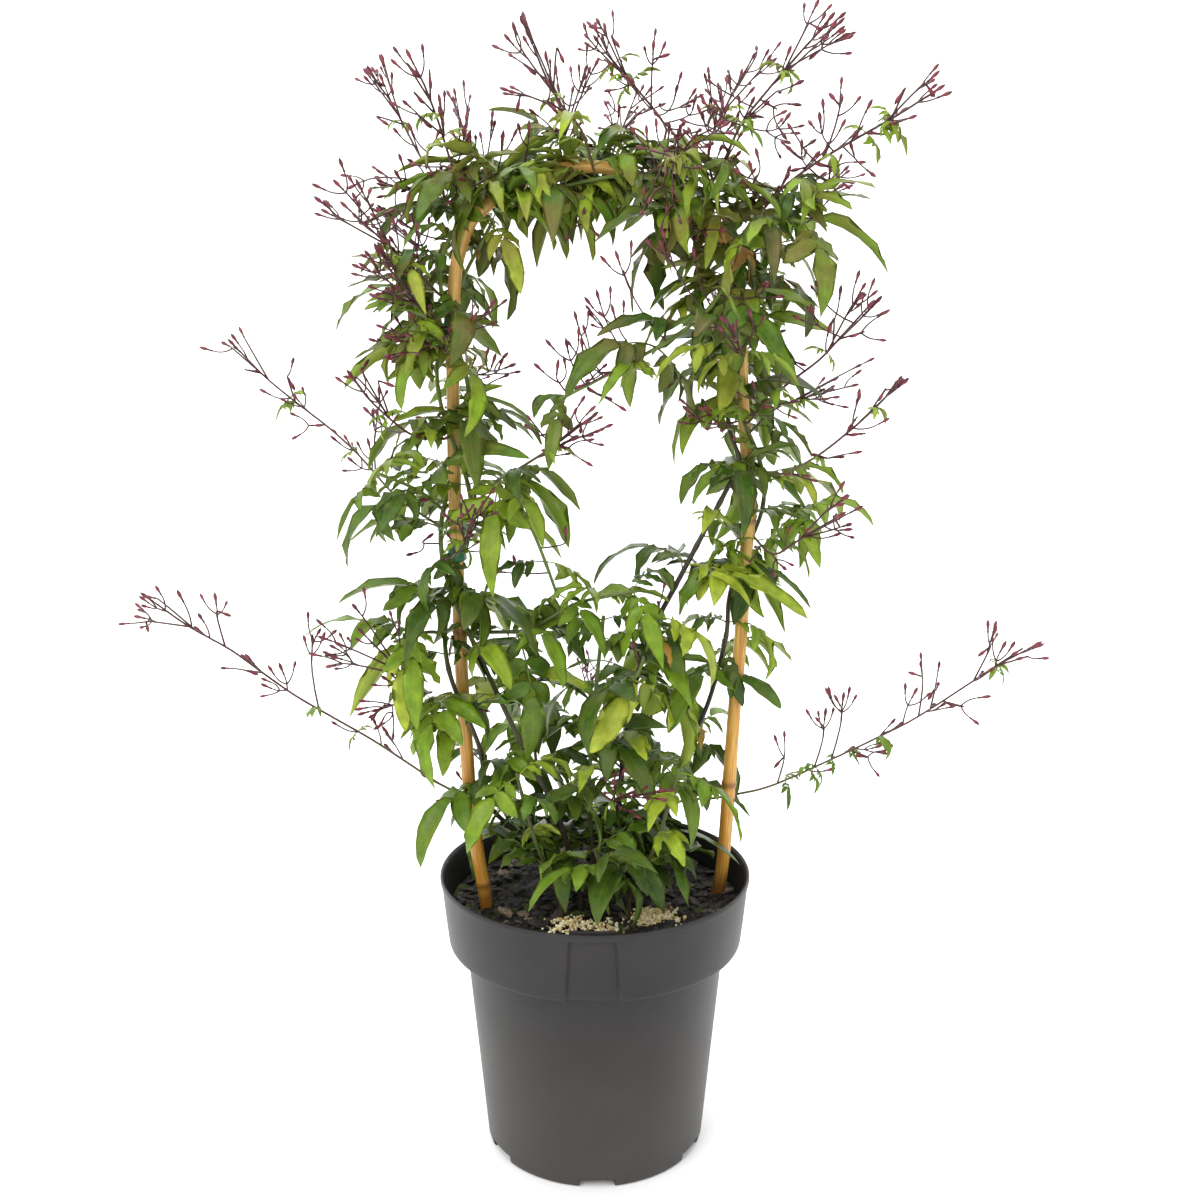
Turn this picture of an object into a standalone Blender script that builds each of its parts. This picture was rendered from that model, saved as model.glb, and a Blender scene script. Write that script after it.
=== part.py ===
"""A potted pink jasmine, trained on a bamboo hoop and full of red-purple buds.

Metres, +Z up. The origin is on the floor under the middle of the pot, and the front faces -Y.
Routes of stems are lists of (x, y, z) points in millimetres, chosen by hand.
"""

import bisect
import itertools
import math
import random

import bmesh
import bpy
from mathutils import Vector
from mathutils.bvhtree import BVHTree

MM = 0.001
GAP = 0.3 * MM

# Pot: a moulded nursery pot of about five litres
POT_SIDES = 32
POT_HEIGHT = 203 * MM
RIM_RADIUS = 110 * MM
COLLAR_FOOT_HEIGHT = 153 * MM
COLLAR_FOOT_RADIUS = 104.2 * MM
BODY_TOP_RADIUS = 92.5 * MM
BASE_RADIUS = 78.8 * MM
POT_WALL = 2 * MM
FLOOR_THICKNESS = 3 * MM
# Inside of the collar: radius and height of its ledge's outer end, and of its throat below the lip
SHOULDER = (101.4 * MM, 157.5 * MM)
THROAT = (105.8 * MM, 196 * MM)
LEDGE_HEIGHT = 155 * MM
NOTCHES = 6
NOTCH_SIZE = Vector((25, 22, 12)) * MM
LABEL_TOP_HALF_ANGLE = math.radians(7.7)
LABEL_FOOT_HALF_ANGLE = math.radians(9.5)
LABEL_DEPTH = 2 * MM

# Potting mix, feed granules and hoop
MIX_HEIGHT = 177 * MM
MIX_RELIEF = 3.5 * MM
CANE_RADIUS = 5.2 * MM
CANE_TOP_RADIUS = 4.4 * MM
CANE_JOINT_SWELL = 1.13
HOOP_ROUTE = [
    (-68, 60), (-72, 110), (-77, 178), (-83, 220), (-87, 258), (-89, 297), (-91, 345), (-92, 400),
    (-93, 460), (-93, 520), (-92, 577), (-89, 620), (-80, 647), (-67, 660), (-48, 673), (-25, 681),
    (4, 683), (29, 676), (56, 664), (80, 646), (93, 622), (97, 585), (100, 530), (105, 480),
    (106, 455), (104, 423), (102, 370), (99, 324), (96, 266), (93, 210), (89, 178), (81, 150),
    (75, 112), (72, 66),
]
CANE_JOINTS = [0.135, 0.32, 0.50, 0.79, 0.97, 1.16]
TIES = [0.375, 0.525, 0.72, 0.845]
TIE_HEIGHT = 11 * MM
TIE_WALL = 0.8 * MM

# Patches of granules: middle (x, y) and reach, in millimetres
GRANULE_PATCHES = {
    "feed_granules_left": ((-4, -46), 17),
    "feed_granules_right": ((44, -32), 14),
}

# Stems
STEM_CLEARANCE = 3.2 * MM
ROUTE_STEP = 26 * MM
SPRAY_STEP = 36 * MM
SEAT_STEP = 9 * MM
SEAT_ROUNDS = 8
HOLE_FLOOR = 120 * MM

# Main stems: the route from the mix to the hoop, then a twist round it from one mark to the
# next. All twist the same way and at one rate, so they keep apart by their phases (degrees).
TWIST_RATE = math.radians(1980)
VINES = {
    "vine_left_front": {
        "route": [(-24, 8, 192), (-48, 2, 222), (-72, -8, 250)],
        "leg": "left", "marks": (0.235, 0.60), "phase": 95, "radius": 2.2,
    },
    "vine_left_over": {
        "route": [(-10, -16, 192), (-26, -20, 250), (-58, -18, 318)],
        "leg": "left", "marks": (0.33, 0.72), "phase": 317, "radius": 2.2,
    },
    "vine_right_diagonal": {
        "route": [(14, 4, 192), (20, 0, 285), (34, 0, 362), (62, 0, 422)],
        "leg": "right", "marks": (0.43, 0.745), "phase": 197, "radius": 2.3,
    },
    "vine_right_back": {
        "route": [(36, 16, 192), (56, 18, 262), (80, 20, 318)],
        "leg": "right", "marks": (0.31, 0.60), "phase": 280, "radius": 2.1,
    },
}

# Leafy shoots. Those whose route starts under the mix stand in it, the others sit on a stem.
SHOOTS = {
    "mound_centre": ([(1, -6, 192), (-4, -10, 260), (0, -14, 330), (6, -20, 392)], True, 1.9),
    "mound_left": ([(-24, -30, 192), (-40, -44, 240), (-52, -52, 292)], True, 1.7),
    "mound_right": ([(24, -28, 192), (42, -44, 240), (56, -54, 296)], True, 1.7),
    "mound_back_left": ([(-26, 34, 192), (-42, 52, 250), (-48, 62, 312)], True, 1.7),
    "mound_back_right": ([(10, 40, 192), (34, 62, 250), (46, 72, 322)], True, 1.7),
    "mound_front": ([(4, -10, 210), (0, -40, 232), (4, -74, 234)], False, 1.5),
    "mound_mid": ([(0, -13, 305), (26, -34, 352), (42, -44, 400)], False, 1.5),
    "window_left": ([(-86, -18, 486), (-62, -34, 490), (-40, -36, 452), (-24, -36, 408)], False, 1.5),
    "window_cross": ([(-80, -18, 380), (-46, -28, 384), (-10, -32, 404), (28, -34, 412)], False, 1.5),
    "window_top": (
        [(92, -18, 614), (68, -34, 590), (34, -36, 567), (6, -38, 552), (-22, -40, 538)], False, 1.5,
    ),
    "left_out": ([(-96, -18, 455), (-116, -36, 480), (-138, -50, 492)], False, 1.5),
    "left_out_low": ([(-90, -18, 372), (-112, -34, 384), (-132, -44, 380)], False, 1.5),
    "right_out": ([(106, 14, 450), (125, 22, 458), (140, 20, 453)], False, 1.5),
    "shoulder_right": ([(94, -18, 632), (112, -38, 650), (130, -50, 646)], False, 1.5),
}

# Flowering shoots: the route of the stem and the tips of the stalks that carry a bud
SPRAYS = {
    "left_low": (
        [(-45, 26, 232), (-70, 18, 242), (-95, 12, 254), (-110, 5, 264), (-155, -5, 300),
         (-205, -15, 335), (-245, -25, 370), (-270, -30, 387), (-290, -30, 402)],
        [(-310, -25, 390), (-295, -40, 415), (-255, -15, 405), (-235, -45, 360),
         (-185, -30, 388)],
    ),
    "left_second": (
        [(-96, -18, 302), (-114, -34, 334), (-130, -50, 364), (-145, -60, 385)],
        [(-155, -65, 412), (-125, -70, 402), (-175, -75, 392), (-180, -45, 366),
         (-150, -60, 336)],
    ),
    "left_upper": (
        [(-97, 8, 438), (-120, 20, 455), (-140, 35, 466), (-165, 45, 492), (-185, 50, 510),
         (-210, 50, 530), (-230, 50, 547), (-246, 50, 564)],
        [(-260, 45, 575), (-250, 60, 582), (-250, 40, 553), (-213, 40, 557),
         (-210, 60, 510), (-150, 40, 522)],
    ),
    "left_mid": (
        [(-96, -18, 494), (-116, -40, 515), (-138, -55, 536), (-146, -60, 548)],
        [(-152, -68, 560), (-150, -50, 566), (-134, -70, 560)],
    ),
    "left_fore": (
        [(-92, -20, 553), (-100, -50, 572), (-114, -70, 575)],
        [(-126, -76, 582), (-114, -60, 584), (-126, -88, 567)],
    ),
    "shoulder_left": (
        [(-94, -18, 593), (-106, -36, 612), (-126, -50, 632), (-145, -56, 650)],
        [(-166, -60, 656), (-157, -62, 672), (-143, -45, 670), (-134, -75, 642)],
    ),
    "shoulder_left_back": (
        [(-95, 12, 618), (-114, 30, 630), (-130, 45, 643)],
        [(-154, 50, 658), (-146, 34, 662), (-120, 50, 656)],
    ),
    "shoulder_left_fore": (
        [(-90, -20, 570), (-104, -46, 590), (-120, -70, 614)],
        [(-136, -80, 624), (-130, -64, 632), (-130, -92, 606)],
    ),
    "top_left": (
        [(-92, 6, 640), (-97, 14, 660), (-102, 20, 675), (-115, 30, 692), (-125, 35, 710),
         (-135, 40, 728), (-144, 41, 740)],
        [(-152, 42, 750), (-139, 32, 752), (-155, 46, 720), (-168, 50, 676), (-108, 20, 702)],
    ),
    "top_left_fore": (
        [(-76, -18, 655), (-82, -32, 670), (-95, -50, 708), (-101, -58, 725), (-105, -60, 733)],
        [(-116, -62, 746), (-98, -52, 744), (-112, -72, 725), (-114, -56, 714), (-92, -40, 722)],
    ),
    "top_left_back": (
        [(-60, 14, 670), (-74, 40, 686), (-88, 60, 706), (-94, 70, 725)],
        [(-101, 76, 741), (-86, 70, 738), (-90, 86, 717)],
    ),
    "top_mid_left": (
        [(-2, -14, 688), (-8, -25, 703), (-20, -30, 717), (-29, -35, 732), (-36, -38, 748)],
        [(-52, -46, 762), (-44, -34, 768), (-20, -46, 758), (-52, -26, 746),
         (-34, -55, 720), (-55, -36, 726)],
    ),
    "top_mid_back": (
        [(-20, 14, 688), (-20, 35, 706), (-16, 50, 730)],
        [(-26, 52, 752), (-5, 45, 752), (2, 60, 758)],
    ),
    "top_mid": (
        [(34, 14, 680), (36, 20, 693), (47, 20, 708), (25, 25, 737), (12, 29, 752), (5, 30, 764)],
        [(0, 30, 781), (-11, 35, 776), (7, 20, 776), (40, 20, 762), (0, 46, 760)],
    ),
    "top_right": (
        [(68, -14, 662), (80, -20, 682), (91, -25, 706), (106, -30, 725), (120, -35, 741),
         (130, -38, 752)],
        [(135, -40, 772), (146, -35, 770), (146, -50, 762), (148, -30, 754),
         (115, -60, 726)],
    ),
    "top_right_back": (
        [(66, 16, 668), (76, 40, 697), (90, 55, 730), (103, 62, 753)],
        [(114, 65, 770), (121, 70, 762), (75, 50, 742), (84, 68, 750)],
    ),
    "right_high": (
        [(92, -18, 626), (102, -26, 650), (115, -35, 666), (136, -45, 682), (160, -55, 696),
         (180, -61, 707), (196, -65, 717)],
        [(202, -70, 732), (212, -60, 726), (186, -68, 732), (186, -80, 702),
         (183, -60, 695), (150, -40, 726), (162, -72, 706)],
    ),
    "right_high_back": (
        [(100, 14, 614), (116, 35, 638), (140, 50, 660), (153, 55, 671)],
        [(175, 60, 690), (171, 50, 677), (158, 70, 688)],
    ),
    "right_upper": (
        [(102, -18, 520), (111, -26, 535), (125, -31, 548), (143, -38, 563), (155, -42, 577),
         (166, -45, 590)],
        [(166, -50, 607), (181, -40, 602), (146, -56, 597), (176, -56, 582)],
    ),
    "right_upper_back": (
        [(106, 14, 514), (126, 40, 526), (141, 50, 531), (162, 60, 541)],
        [(190, 65, 556), (186, 54, 542), (166, 76, 532)],
    ),
    "right_middle": (
        [(108, -16, 468), (124, -20, 488), (145, -25, 500), (165, -30, 517), (180, -34, 532),
         (188, -35, 541)],
        [(191, -40, 553), (201, -30, 552), (175, -18, 532), (180, -46, 516),
         (156, -36, 498), (141, -10, 486)],
    ),
    "right_lower": (
        [(108, -18, 422), (118, -30, 436), (132, -45, 448), (150, -60, 463)],
        [(156, -66, 480), (171, -55, 472), (162, -72, 464), (136, -76, 465)],
    ),
    "right_low": (
        [(50, 26, 240), (66, 38, 240), (84, 40, 240), (105, 34, 246), (130, 26, 256), (175, 15, 282),
         (225, 0, 315), (260, -10, 344), (272, -15, 355), (290, -19, 367)],
        [(297, -22, 376), (305, -15, 366), (275, -5, 377),
         (262, -15, 322), (225, 0, 355), (231, -16, 347), (175, 20, 327), (160, 5, 316),
         (196, -10, 284), (136, 24, 288)],
    ),
    "fore_left": (
        [(-88, -20, 430), (-84, -50, 446), (-78, -76, 462)],
        [(-84, -94, 474), (-70, -90, 476), (-68, -76, 480)],
    ),
    "fore_right": (
        [(46, -14, 672), (50, -50, 684), (56, -78, 690)],
        [(50, -96, 701), (64, -96, 699), (70, -84, 695)],
    ),
    "fore_right_low": (
        [(100, -20, 558), (92, -50, 566), (84, -76, 580)],
        [(78, -94, 590), (95, -90, 593), (66, -80, 593)],
    ),
    "back_left": (
        [(-90, 16, 520), (-90, 58, 544), (-94, 96, 566), (-98, 122, 582)],
        [(-104, 138, 594), (-90, 136, 594), (-112, 112, 580)],
    ),
    "back_right": (
        [(101, 20, 552), (98, 66, 566), (92, 102, 586), (88, 124, 602)],
        [(82, 138, 616), (94, 138, 612), (104, 114, 600)],
    ),
    "back_top": (
        [(10, 14, 688), (16, 50, 706), (22, 82, 722)],
        [(18, 100, 736), (32, 98, 732), (30, 84, 742)],
    ),
    "back_low": (
        [(14, 44, 240), (10, 78, 262), (0, 110, 286), (-6, 134, 306)],
        [(-12, 148, 318), (2, 146, 318), (-16, 126, 308)],
    ),
    "mound_bud": (
        [(6, -22, 262), (12, -50, 272), (22, -76, 286)],
        [(30, -92, 296), (14, -90, 298), (38, -84, 290)],
    ),
    "window_bud": (
        [(-54, -36, 490), (-30, -46, 506), (-12, -54, 520)],
        [(0, -60, 530), (-16, -60, 536), (4, -52, 520)],
    ),
}

# Three-sided stalks: these are the radii of their corners
SPRAY_FOOT_RADIUS = 1.5 * MM
SPRAY_TIP_RADIUS = 1.1 * MM
STALK_RADIUS = 0.7 * MM
BUD_RADIUS = 2.1 * MM
BUD_LENGTH = 10.5 * MM
LONG_STALK = 34 * MM

# Leaves: the parts of a leaf are shares of its length, and the widths shares of a leaflet's length
NODE_SPACING = 66 * MM
FIRST_NODE = 30 * MM
FIRST_NODE_STANDING = 105 * MM
LEAF_LENGTH = 92 * MM
TWO_PAIRS_FROM = 96 * MM
PETIOLE_SHARE = 0.20
PAIR_SHARE = 0.16
SIDE_LEAFLET_SHARE = 0.34
SIDE_LEAFLET_WIDTH = 0.33
END_LEAFLET_WIDTHS = (0.27, 0.34)
KEEL_SHARE = 0.16
RIB_RADIUS = 0.8 * MM
LEAF_THICKNESS = 1.0 * MM
LEAF_TRIES = 16
LEAF_MARGIN = 0.75 * MM
CLEAR_OVER_MIX = 6 * MM
CLEAR_OVER_FLOOR = 20 * MM


def mm(point):
    """A point in millimetres as a vector in metres."""
    return Vector(point) * MM


class Path:
    """The centre line of a stem and its thickness, which tapers evenly from foot to tip."""

    def __init__(self, points, foot_radius, tip_radius):
        self.points = points
        self.foot_radius = foot_radius
        self.tip_radius = tip_radius
        self.marks = [0.0]
        for a, b in zip(points, points[1:]):
            self.marks.append(self.marks[-1] + (b - a).length)
        self.length = self.marks[-1]
        self.tree = None

    def radius(self, mark):
        share = mark / self.length
        return self.foot_radius + (self.tip_radius - self.foot_radius) * share

    def at(self, mark):
        """The point and the direction of the stem at a distance along it."""
        mark = min(max(mark, 0.0), self.length)
        i = min(bisect.bisect_right(self.marks, mark), len(self.points) - 1)
        a, b = self.points[i - 1], self.points[i]
        share = (mark - self.marks[i - 1]) / (self.marks[i] - self.marks[i - 1])
        return a.lerp(b, share), (b - a).normalized()

    def nearest(self, point):
        """The mark on the path that is nearest to a point."""
        count = 400
        marks = [self.length * i / count for i in range(count + 1)]
        return min(marks, key=lambda mark: (self.at(mark)[0] - point).length_squared)


def smooth(points, step):
    """A Catmull-Rom curve through the points, read about once in each step."""
    ends = [2 * points[0] - points[1], *points, 2 * points[-1] - points[-2]]
    route = []
    for a, b, c, d in zip(ends, ends[1:], ends[2:], ends[3:]):
        count = max(1, round((c - b).length / step))
        for i in range(count):
            t = i / count
            bend = (2 * a - 5 * b + 4 * c - d) * t * t + (3 * b - a - 3 * c + d) * t**3
            route.append(0.5 * (2 * b + (c - a) * t + bend))
    route.append(points[-1])
    return route


def material(name, colour, roughness, metallic=0.0):
    finish = bpy.data.materials.new(name)
    finish.use_nodes = True
    shader = finish.node_tree.nodes["Principled BSDF"]
    shader.inputs["Base Color"].default_value = (*colour, 1.0)
    shader.inputs["Roughness"].default_value = roughness
    shader.inputs["Metallic"].default_value = metallic
    return finish


def new_object(name, mesh, collection, finish=None):
    piece = bpy.data.objects.new(name, mesh)
    collection.objects.link(piece)
    if finish:
        mesh.materials.append(finish)
    return piece


def mesh_from(name, vertices, faces):
    mesh = bpy.data.meshes.new(name)
    mesh.from_pydata(vertices, [], faces)
    return mesh


def outward(mesh):
    """Turns all faces of a closed mesh to point out."""
    shape = bmesh.new()
    shape.from_mesh(mesh)
    bmesh.ops.recalc_face_normals(shape, faces=shape.faces)
    shape.to_mesh(mesh)
    shape.free()
    return mesh


def evaluated_mesh(piece):
    graph = bpy.context.evaluated_depsgraph_get()
    return bpy.data.meshes.new_from_object(piece.evaluated_get(graph))


def apply_modifiers(piece):
    """Replaces the object's mesh by what its modifiers make of it."""
    mesh = evaluated_mesh(piece)
    piece.modifiers.clear()
    piece.data = mesh
    return piece


def tube(name, points, radii, level, collection, finish=None):
    """A round tube with filled ends, as a closed mesh; level 0, 1 and 2 give 4, 6 and 8 sides."""
    curve = bpy.data.curves.new(name, "CURVE")
    curve.dimensions = "3D"
    curve.bevel_depth = 1.0
    curve.bevel_resolution = level
    curve.use_fill_caps = True
    curve.render_resolution_u = 0
    spline = curve.splines.new("POLY")
    spline.points.add(len(points) - 1)
    for spot, point, radius in zip(spline.points, points, radii):
        spot.co = (*point, 1.0)
        spot.radius = radius
    source = new_object(name + "_curve", curve, collection)
    mesh = evaluated_mesh(source)
    bpy.data.objects.remove(source)
    shape = bmesh.new()
    shape.from_mesh(mesh)
    bmesh.ops.remove_doubles(shape, verts=shape.verts, dist=0.01 * MM)
    bmesh.ops.recalc_face_normals(shape, faces=shape.faces)
    shape.to_mesh(mesh)
    shape.free()
    return new_object(name, mesh, collection, finish)


def combine(piece, operation, cutters):
    """One Boolean of a piece with a collection, applied; the collection's objects are removed."""
    group = bpy.data.collections.new("joined")
    bpy.context.scene.collection.children.link(group)
    for i, mesh in enumerate(cutters):
        new_object("joined_%d" % i, mesh, group)
    join = piece.modifiers.new("join", "BOOLEAN")
    join.operation = operation
    join.operand_type = "COLLECTION"
    join.collection = group
    join.solver = "EXACT"
    finish = piece.data.materials[0] if piece.data.materials else None
    apply_modifiers(piece)
    piece.data.materials.clear()
    if finish:
        piece.data.materials.append(finish)
    for cutter in list(group.objects):
        bpy.data.objects.remove(cutter)
    bpy.data.collections.remove(group)
    return piece


def tree_of(mesh):
    """The mesh as a search tree, to find what would cross it."""
    vertices = [tuple(v.co) for v in mesh.vertices]
    return BVHTree.FromPolygons(vertices, [tuple(p.vertices) for p in mesh.polygons])


def inner_wall(height):
    """The inside radius of the pot under the collar, at a height."""
    share = height / COLLAR_FOOT_HEIGHT
    return BASE_RADIUS + (BODY_TOP_RADIUS - BASE_RADIUS) * share - POT_WALL


def pot(parts, finish):
    """A profile from the middle of the inside, over the lip and down the outside, turned."""
    profile = [
        (0, FLOOR_THICKNESS),
        (inner_wall(FLOOR_THICKNESS), FLOOR_THICKNESS),
        (inner_wall(LEDGE_HEIGHT), LEDGE_HEIGHT),
        SHOULDER,
        THROAT,
        (RIM_RADIUS - 2.4 * MM, POT_HEIGHT - 1 * MM),
        (RIM_RADIUS - 1.2 * MM, POT_HEIGHT),
        (RIM_RADIUS, POT_HEIGHT - 1.3 * MM),
        (RIM_RADIUS - 0.2 * MM, POT_HEIGHT - 5.5 * MM),
        (RIM_RADIUS - 0.9 * MM, POT_HEIGHT - 7 * MM),
        (COLLAR_FOOT_RADIUS + 0.2 * MM, COLLAR_FOOT_HEIGHT + 1.5 * MM),
        (COLLAR_FOOT_RADIUS - 0.8 * MM, COLLAR_FOOT_HEIGHT),
        (BODY_TOP_RADIUS + 0.4 * MM, COLLAR_FOOT_HEIGHT),
        (BODY_TOP_RADIUS, COLLAR_FOOT_HEIGHT - 1.5 * MM),
        (BASE_RADIUS, 2.5 * MM),
        (BASE_RADIUS - 1.8 * MM, 0),
        (0, 0),
    ]
    mesh = mesh_from("pot", [(r, 0, z) for r, z in profile], [])
    mesh.edges.add(len(profile) - 1)
    for i, edge in enumerate(mesh.edges):
        edge.vertices = (i, i + 1)
    body = new_object("pot", mesh, parts, finish)
    turn = body.modifiers.new("turn", "SCREW")
    turn.steps = turn.render_steps = POT_SIDES
    turn.use_merge_vertices = True
    turn.merge_threshold = 0.01 * MM
    apply_modifiers(body)
    outward(body.data)
    cutters = [notch(i) for i in range(NOTCHES)]
    cutters.append(label_recess())
    return combine(body, "DIFFERENCE", cutters)


def notch(i):
    """A box over the foot of the wall, which leaves a drain slot there."""
    shape = bmesh.new()
    bmesh.ops.create_cube(shape, size=1.0)
    bmesh.ops.scale(shape, vec=NOTCH_SIZE, verts=shape.verts)
    bmesh.ops.translate(shape, vec=(0, -BASE_RADIUS, 0), verts=shape.verts)
    mesh = bpy.data.meshes.new("notch")
    shape.to_mesh(mesh)
    shape.free()
    turn = math.tau * (i + 0.02) / NOTCHES
    for vertex in mesh.vertices:
        x, y, z = vertex.co
        vertex.co = (
            x * math.cos(turn) - y * math.sin(turn),
            x * math.sin(turn) + y * math.cos(turn),
            z,
        )
    return mesh


def label_recess():
    """A block with curved faces that sinks the label's place into the front of the collar."""
    arc_steps = 5
    foot = COLLAR_FOOT_HEIGHT - 2 * MM
    top = POT_HEIGHT - 8.5 * MM
    slope = (RIM_RADIUS - 0.9 * MM - COLLAR_FOOT_RADIUS) / (POT_HEIGHT - 7 * MM - COLLAR_FOOT_HEIGHT)
    vertices = []
    for height, half in ((foot, LABEL_FOOT_HALF_ANGLE), (top, LABEL_TOP_HALF_ANGLE)):
        outside = COLLAR_FOOT_RADIUS + slope * (height - COLLAR_FOOT_HEIGHT)
        inner = [(outside - LABEL_DEPTH, i) for i in range(arc_steps + 1)]
        outer = [(outside + 4 * MM, i) for i in reversed(range(arc_steps + 1))]
        for radius, i in inner + outer:
            angle = -math.pi / 2 + half * (2 * i / arc_steps - 1)
            vertices.append((radius * math.cos(angle), radius * math.sin(angle), height))
    count = len(vertices) // 2
    faces = [tuple(range(count))[::-1], tuple(range(count, 2 * count))]
    for i in range(count):
        j = (i + 1) % count
        faces.append((i, j, count + j, count + i))
    return outward(mesh_from("label_recess", vertices, faces))


def mix_relief(x, y):
    """The height of the mix at a place: chips and hollows, level where the granules lie."""
    waves = (
        math.sin(x * 310 + 1.3) * math.cos(y * 270 - 0.4)
        + 0.7 * math.sin(x * 530 - y * 410)
        + 0.5 * math.cos(x * 170 + y * 690 + 2.0)
    )
    level = 1.0
    for centre, reach in GRANULE_PATCHES.values():
        distance = math.hypot(x - centre[0] * MM, y - centre[1] * MM) / (reach * MM)
        level = min(level, max(0.0, distance - 2.4))
    return MIX_HEIGHT + MIX_RELIEF * 0.45 * waves * level


def potting_mix(parts, finish, standing):
    """A turned plug that fills the pot, with relief on top and a plain hole for each stem."""
    rings = 5
    share = (MIX_HEIGHT - SHOULDER[1]) / (THROAT[1] - SHOULDER[1])
    top_radius = SHOULDER[0] + share * (THROAT[0] - SHOULDER[0]) - GAP
    vertices = [(0, 0, mix_relief(0, 0))]
    for ring in range(1, rings + 1):
        for i in range(POT_SIDES):
            angle = math.tau * i / POT_SIDES
            radius = top_radius * ring / rings
            x, y = radius * math.cos(angle), radius * math.sin(angle)
            height = mix_relief(x, y) if ring < rings else MIX_HEIGHT
            vertices.append((x, y, height))
    wall = [
        (SHOULDER[0] - GAP, SHOULDER[1] + GAP),
        (inner_wall(LEDGE_HEIGHT) - GAP, LEDGE_HEIGHT + GAP),
        (inner_wall(FLOOR_THICKNESS) - GAP, FLOOR_THICKNESS + GAP),
    ]
    for radius, height in wall:
        for i in range(POT_SIDES):
            angle = math.tau * i / POT_SIDES
            vertices.append((radius * math.cos(angle), radius * math.sin(angle), height))
    vertices.append((0, 0, FLOOR_THICKNESS + GAP))
    faces = [(0, 1 + i, 1 + (i + 1) % POT_SIDES) for i in range(POT_SIDES)]
    for ring in range(rings + len(wall) - 1):
        start = 1 + ring * POT_SIDES
        for i in range(POT_SIDES):
            j = (i + 1) % POT_SIDES
            a, b, c, d = start + i, start + j, start + POT_SIDES + j, start + POT_SIDES + i
            faces.extend([(a, c, b), (a, d, c)])
    last = 1 + (rings + len(wall) - 1) * POT_SIDES
    for i in range(POT_SIDES):
        faces.append((last + i, len(vertices) - 1, last + (i + 1) % POT_SIDES))
    mix = new_object("potting_mix", outward(mesh_from("potting_mix", vertices, faces)), parts, finish)
    return combine(mix, "DIFFERENCE", [hole(path, level) for path, level in standing])


def hole(path, level):
    """A cutter round the part of a stem that stands in the mix, a gap wider all round."""
    sides = 4 + 2 * level
    points = list(itertools.takewhile(lambda p: p.z < MIX_HEIGHT + 14 * MM, path.points))
    points.append(path.points[len(points)])
    points[0] = points[0] + (points[0] - points[1]).normalized() * GAP
    reach = (path.foot_radius + GAP) / math.cos(math.pi / sides)
    cutter = tube("hole", points, [reach] * len(points), level, bpy.context.scene.collection)
    mesh = cutter.data
    bpy.data.objects.remove(cutter)
    return mesh


def feed_granules(name, parts, finish):
    """A low patch with a knobbly top, the height of each knob drawn from a seed."""
    centre, reach = GRANULE_PATCHES[name]
    draw = random.Random(name)
    rings, sides = 3, 14
    base = MIX_HEIGHT + GAP
    x0, y0 = centre[0] * MM, centre[1] * MM
    vertices = [(x0, y0, base + 3 * MM)]
    for ring in range(1, rings + 1):
        for i in range(sides):
            angle = math.tau * (i + 0.5 * (ring % 2)) / sides
            radius = reach * MM * ring / rings * draw.uniform(0.92, 1.08)
            height = 1.0 * MM if ring == rings else draw.uniform(1.4, 3.6) * MM
            place = (x0 + radius * math.cos(angle), y0 + 0.62 * radius * math.sin(angle))
            vertices.append((*place, base + height))
    outline = vertices[-sides:]
    vertices.extend([(x, y, base) for x, y, _ in outline])
    vertices.append((x0, y0, base))
    faces = [(0, 1 + i, 1 + (i + 1) % sides) for i in range(sides)]
    for ring in range(rings):
        start = 1 + ring * sides
        for i in range(sides):
            j = (i + 1) % sides
            a, b, c, d = start + i, start + j, start + sides + j, start + sides + i
            faces.extend([(a, c, b), (a, d, c)])
    last = 1 + rings * sides
    for i in range(sides):
        faces.append((last + i, len(vertices) - 1, last + (i + 1) % sides))
    return new_object(name, outward(mesh_from(name, vertices, faces)), parts, finish)


def hoop_path():
    """The cane's centre line, in an upright plane that is turned a little to the pot's front."""
    points = [mm((x, 0.6 + 0.124 * x, z)) for x, z in HOOP_ROUTE]
    return Path(smooth(points, 60 * MM), CANE_RADIUS, CANE_RADIUS)


def cane_radius(path, mark):
    """Thicker at both feet than at the top of the bend."""
    middle = abs(2 * mark / path.length - 1)
    return CANE_TOP_RADIUS + (CANE_RADIUS - CANE_TOP_RADIUS) * middle


def bamboo_hoop(path, parts, finish):
    """A tube along the hoop that swells at each joint of the cane."""
    stations = [(mark, 1.0) for mark in path.marks]
    for joint in CANE_JOINTS:
        stations = [s for s in stations if abs(s[0] - joint) > 9 * MM]
        stations += [(joint - 4 * MM, 1.0), (joint, CANE_JOINT_SWELL), (joint + 4 * MM, 1.0)]
    stations.sort()
    points = [path.at(mark)[0] for mark, _ in stations]
    radii = [cane_radius(path, mark) * swell for mark, swell in stations]
    return tube("bamboo_hoop", points, radii, 2, parts, finish)


def tie(number, path, mark, parts, finish):
    """A short sleeve of tape round the cane."""
    sides = 6
    centre, along = path.at(mark)
    side = along.cross(Vector((0, 1, 0))).normalized()
    up = side.cross(along)
    inner = (cane_radius(path, mark) + 2 * GAP) / math.cos(math.pi / sides)
    vertices = []
    for offset in (-TIE_HEIGHT / 2, TIE_HEIGHT / 2):
        for radius in (inner, inner + TIE_WALL):
            for i in range(sides):
                angle = math.tau * i / sides
                spoke = math.cos(angle) * side + math.sin(angle) * up
                vertices.append(centre + along * offset + spoke * radius)
    faces = []
    for i in range(sides):
        j = (i + 1) % sides
        for a, b in ((0, 1), (1, 3), (3, 2), (2, 0)):
            faces.append((a * sides + i, a * sides + j, b * sides + j, b * sides + i))
    name = "green_tie_%d" % number
    return new_object(name, outward(mesh_from(name, vertices, faces)), parts, finish)


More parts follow.
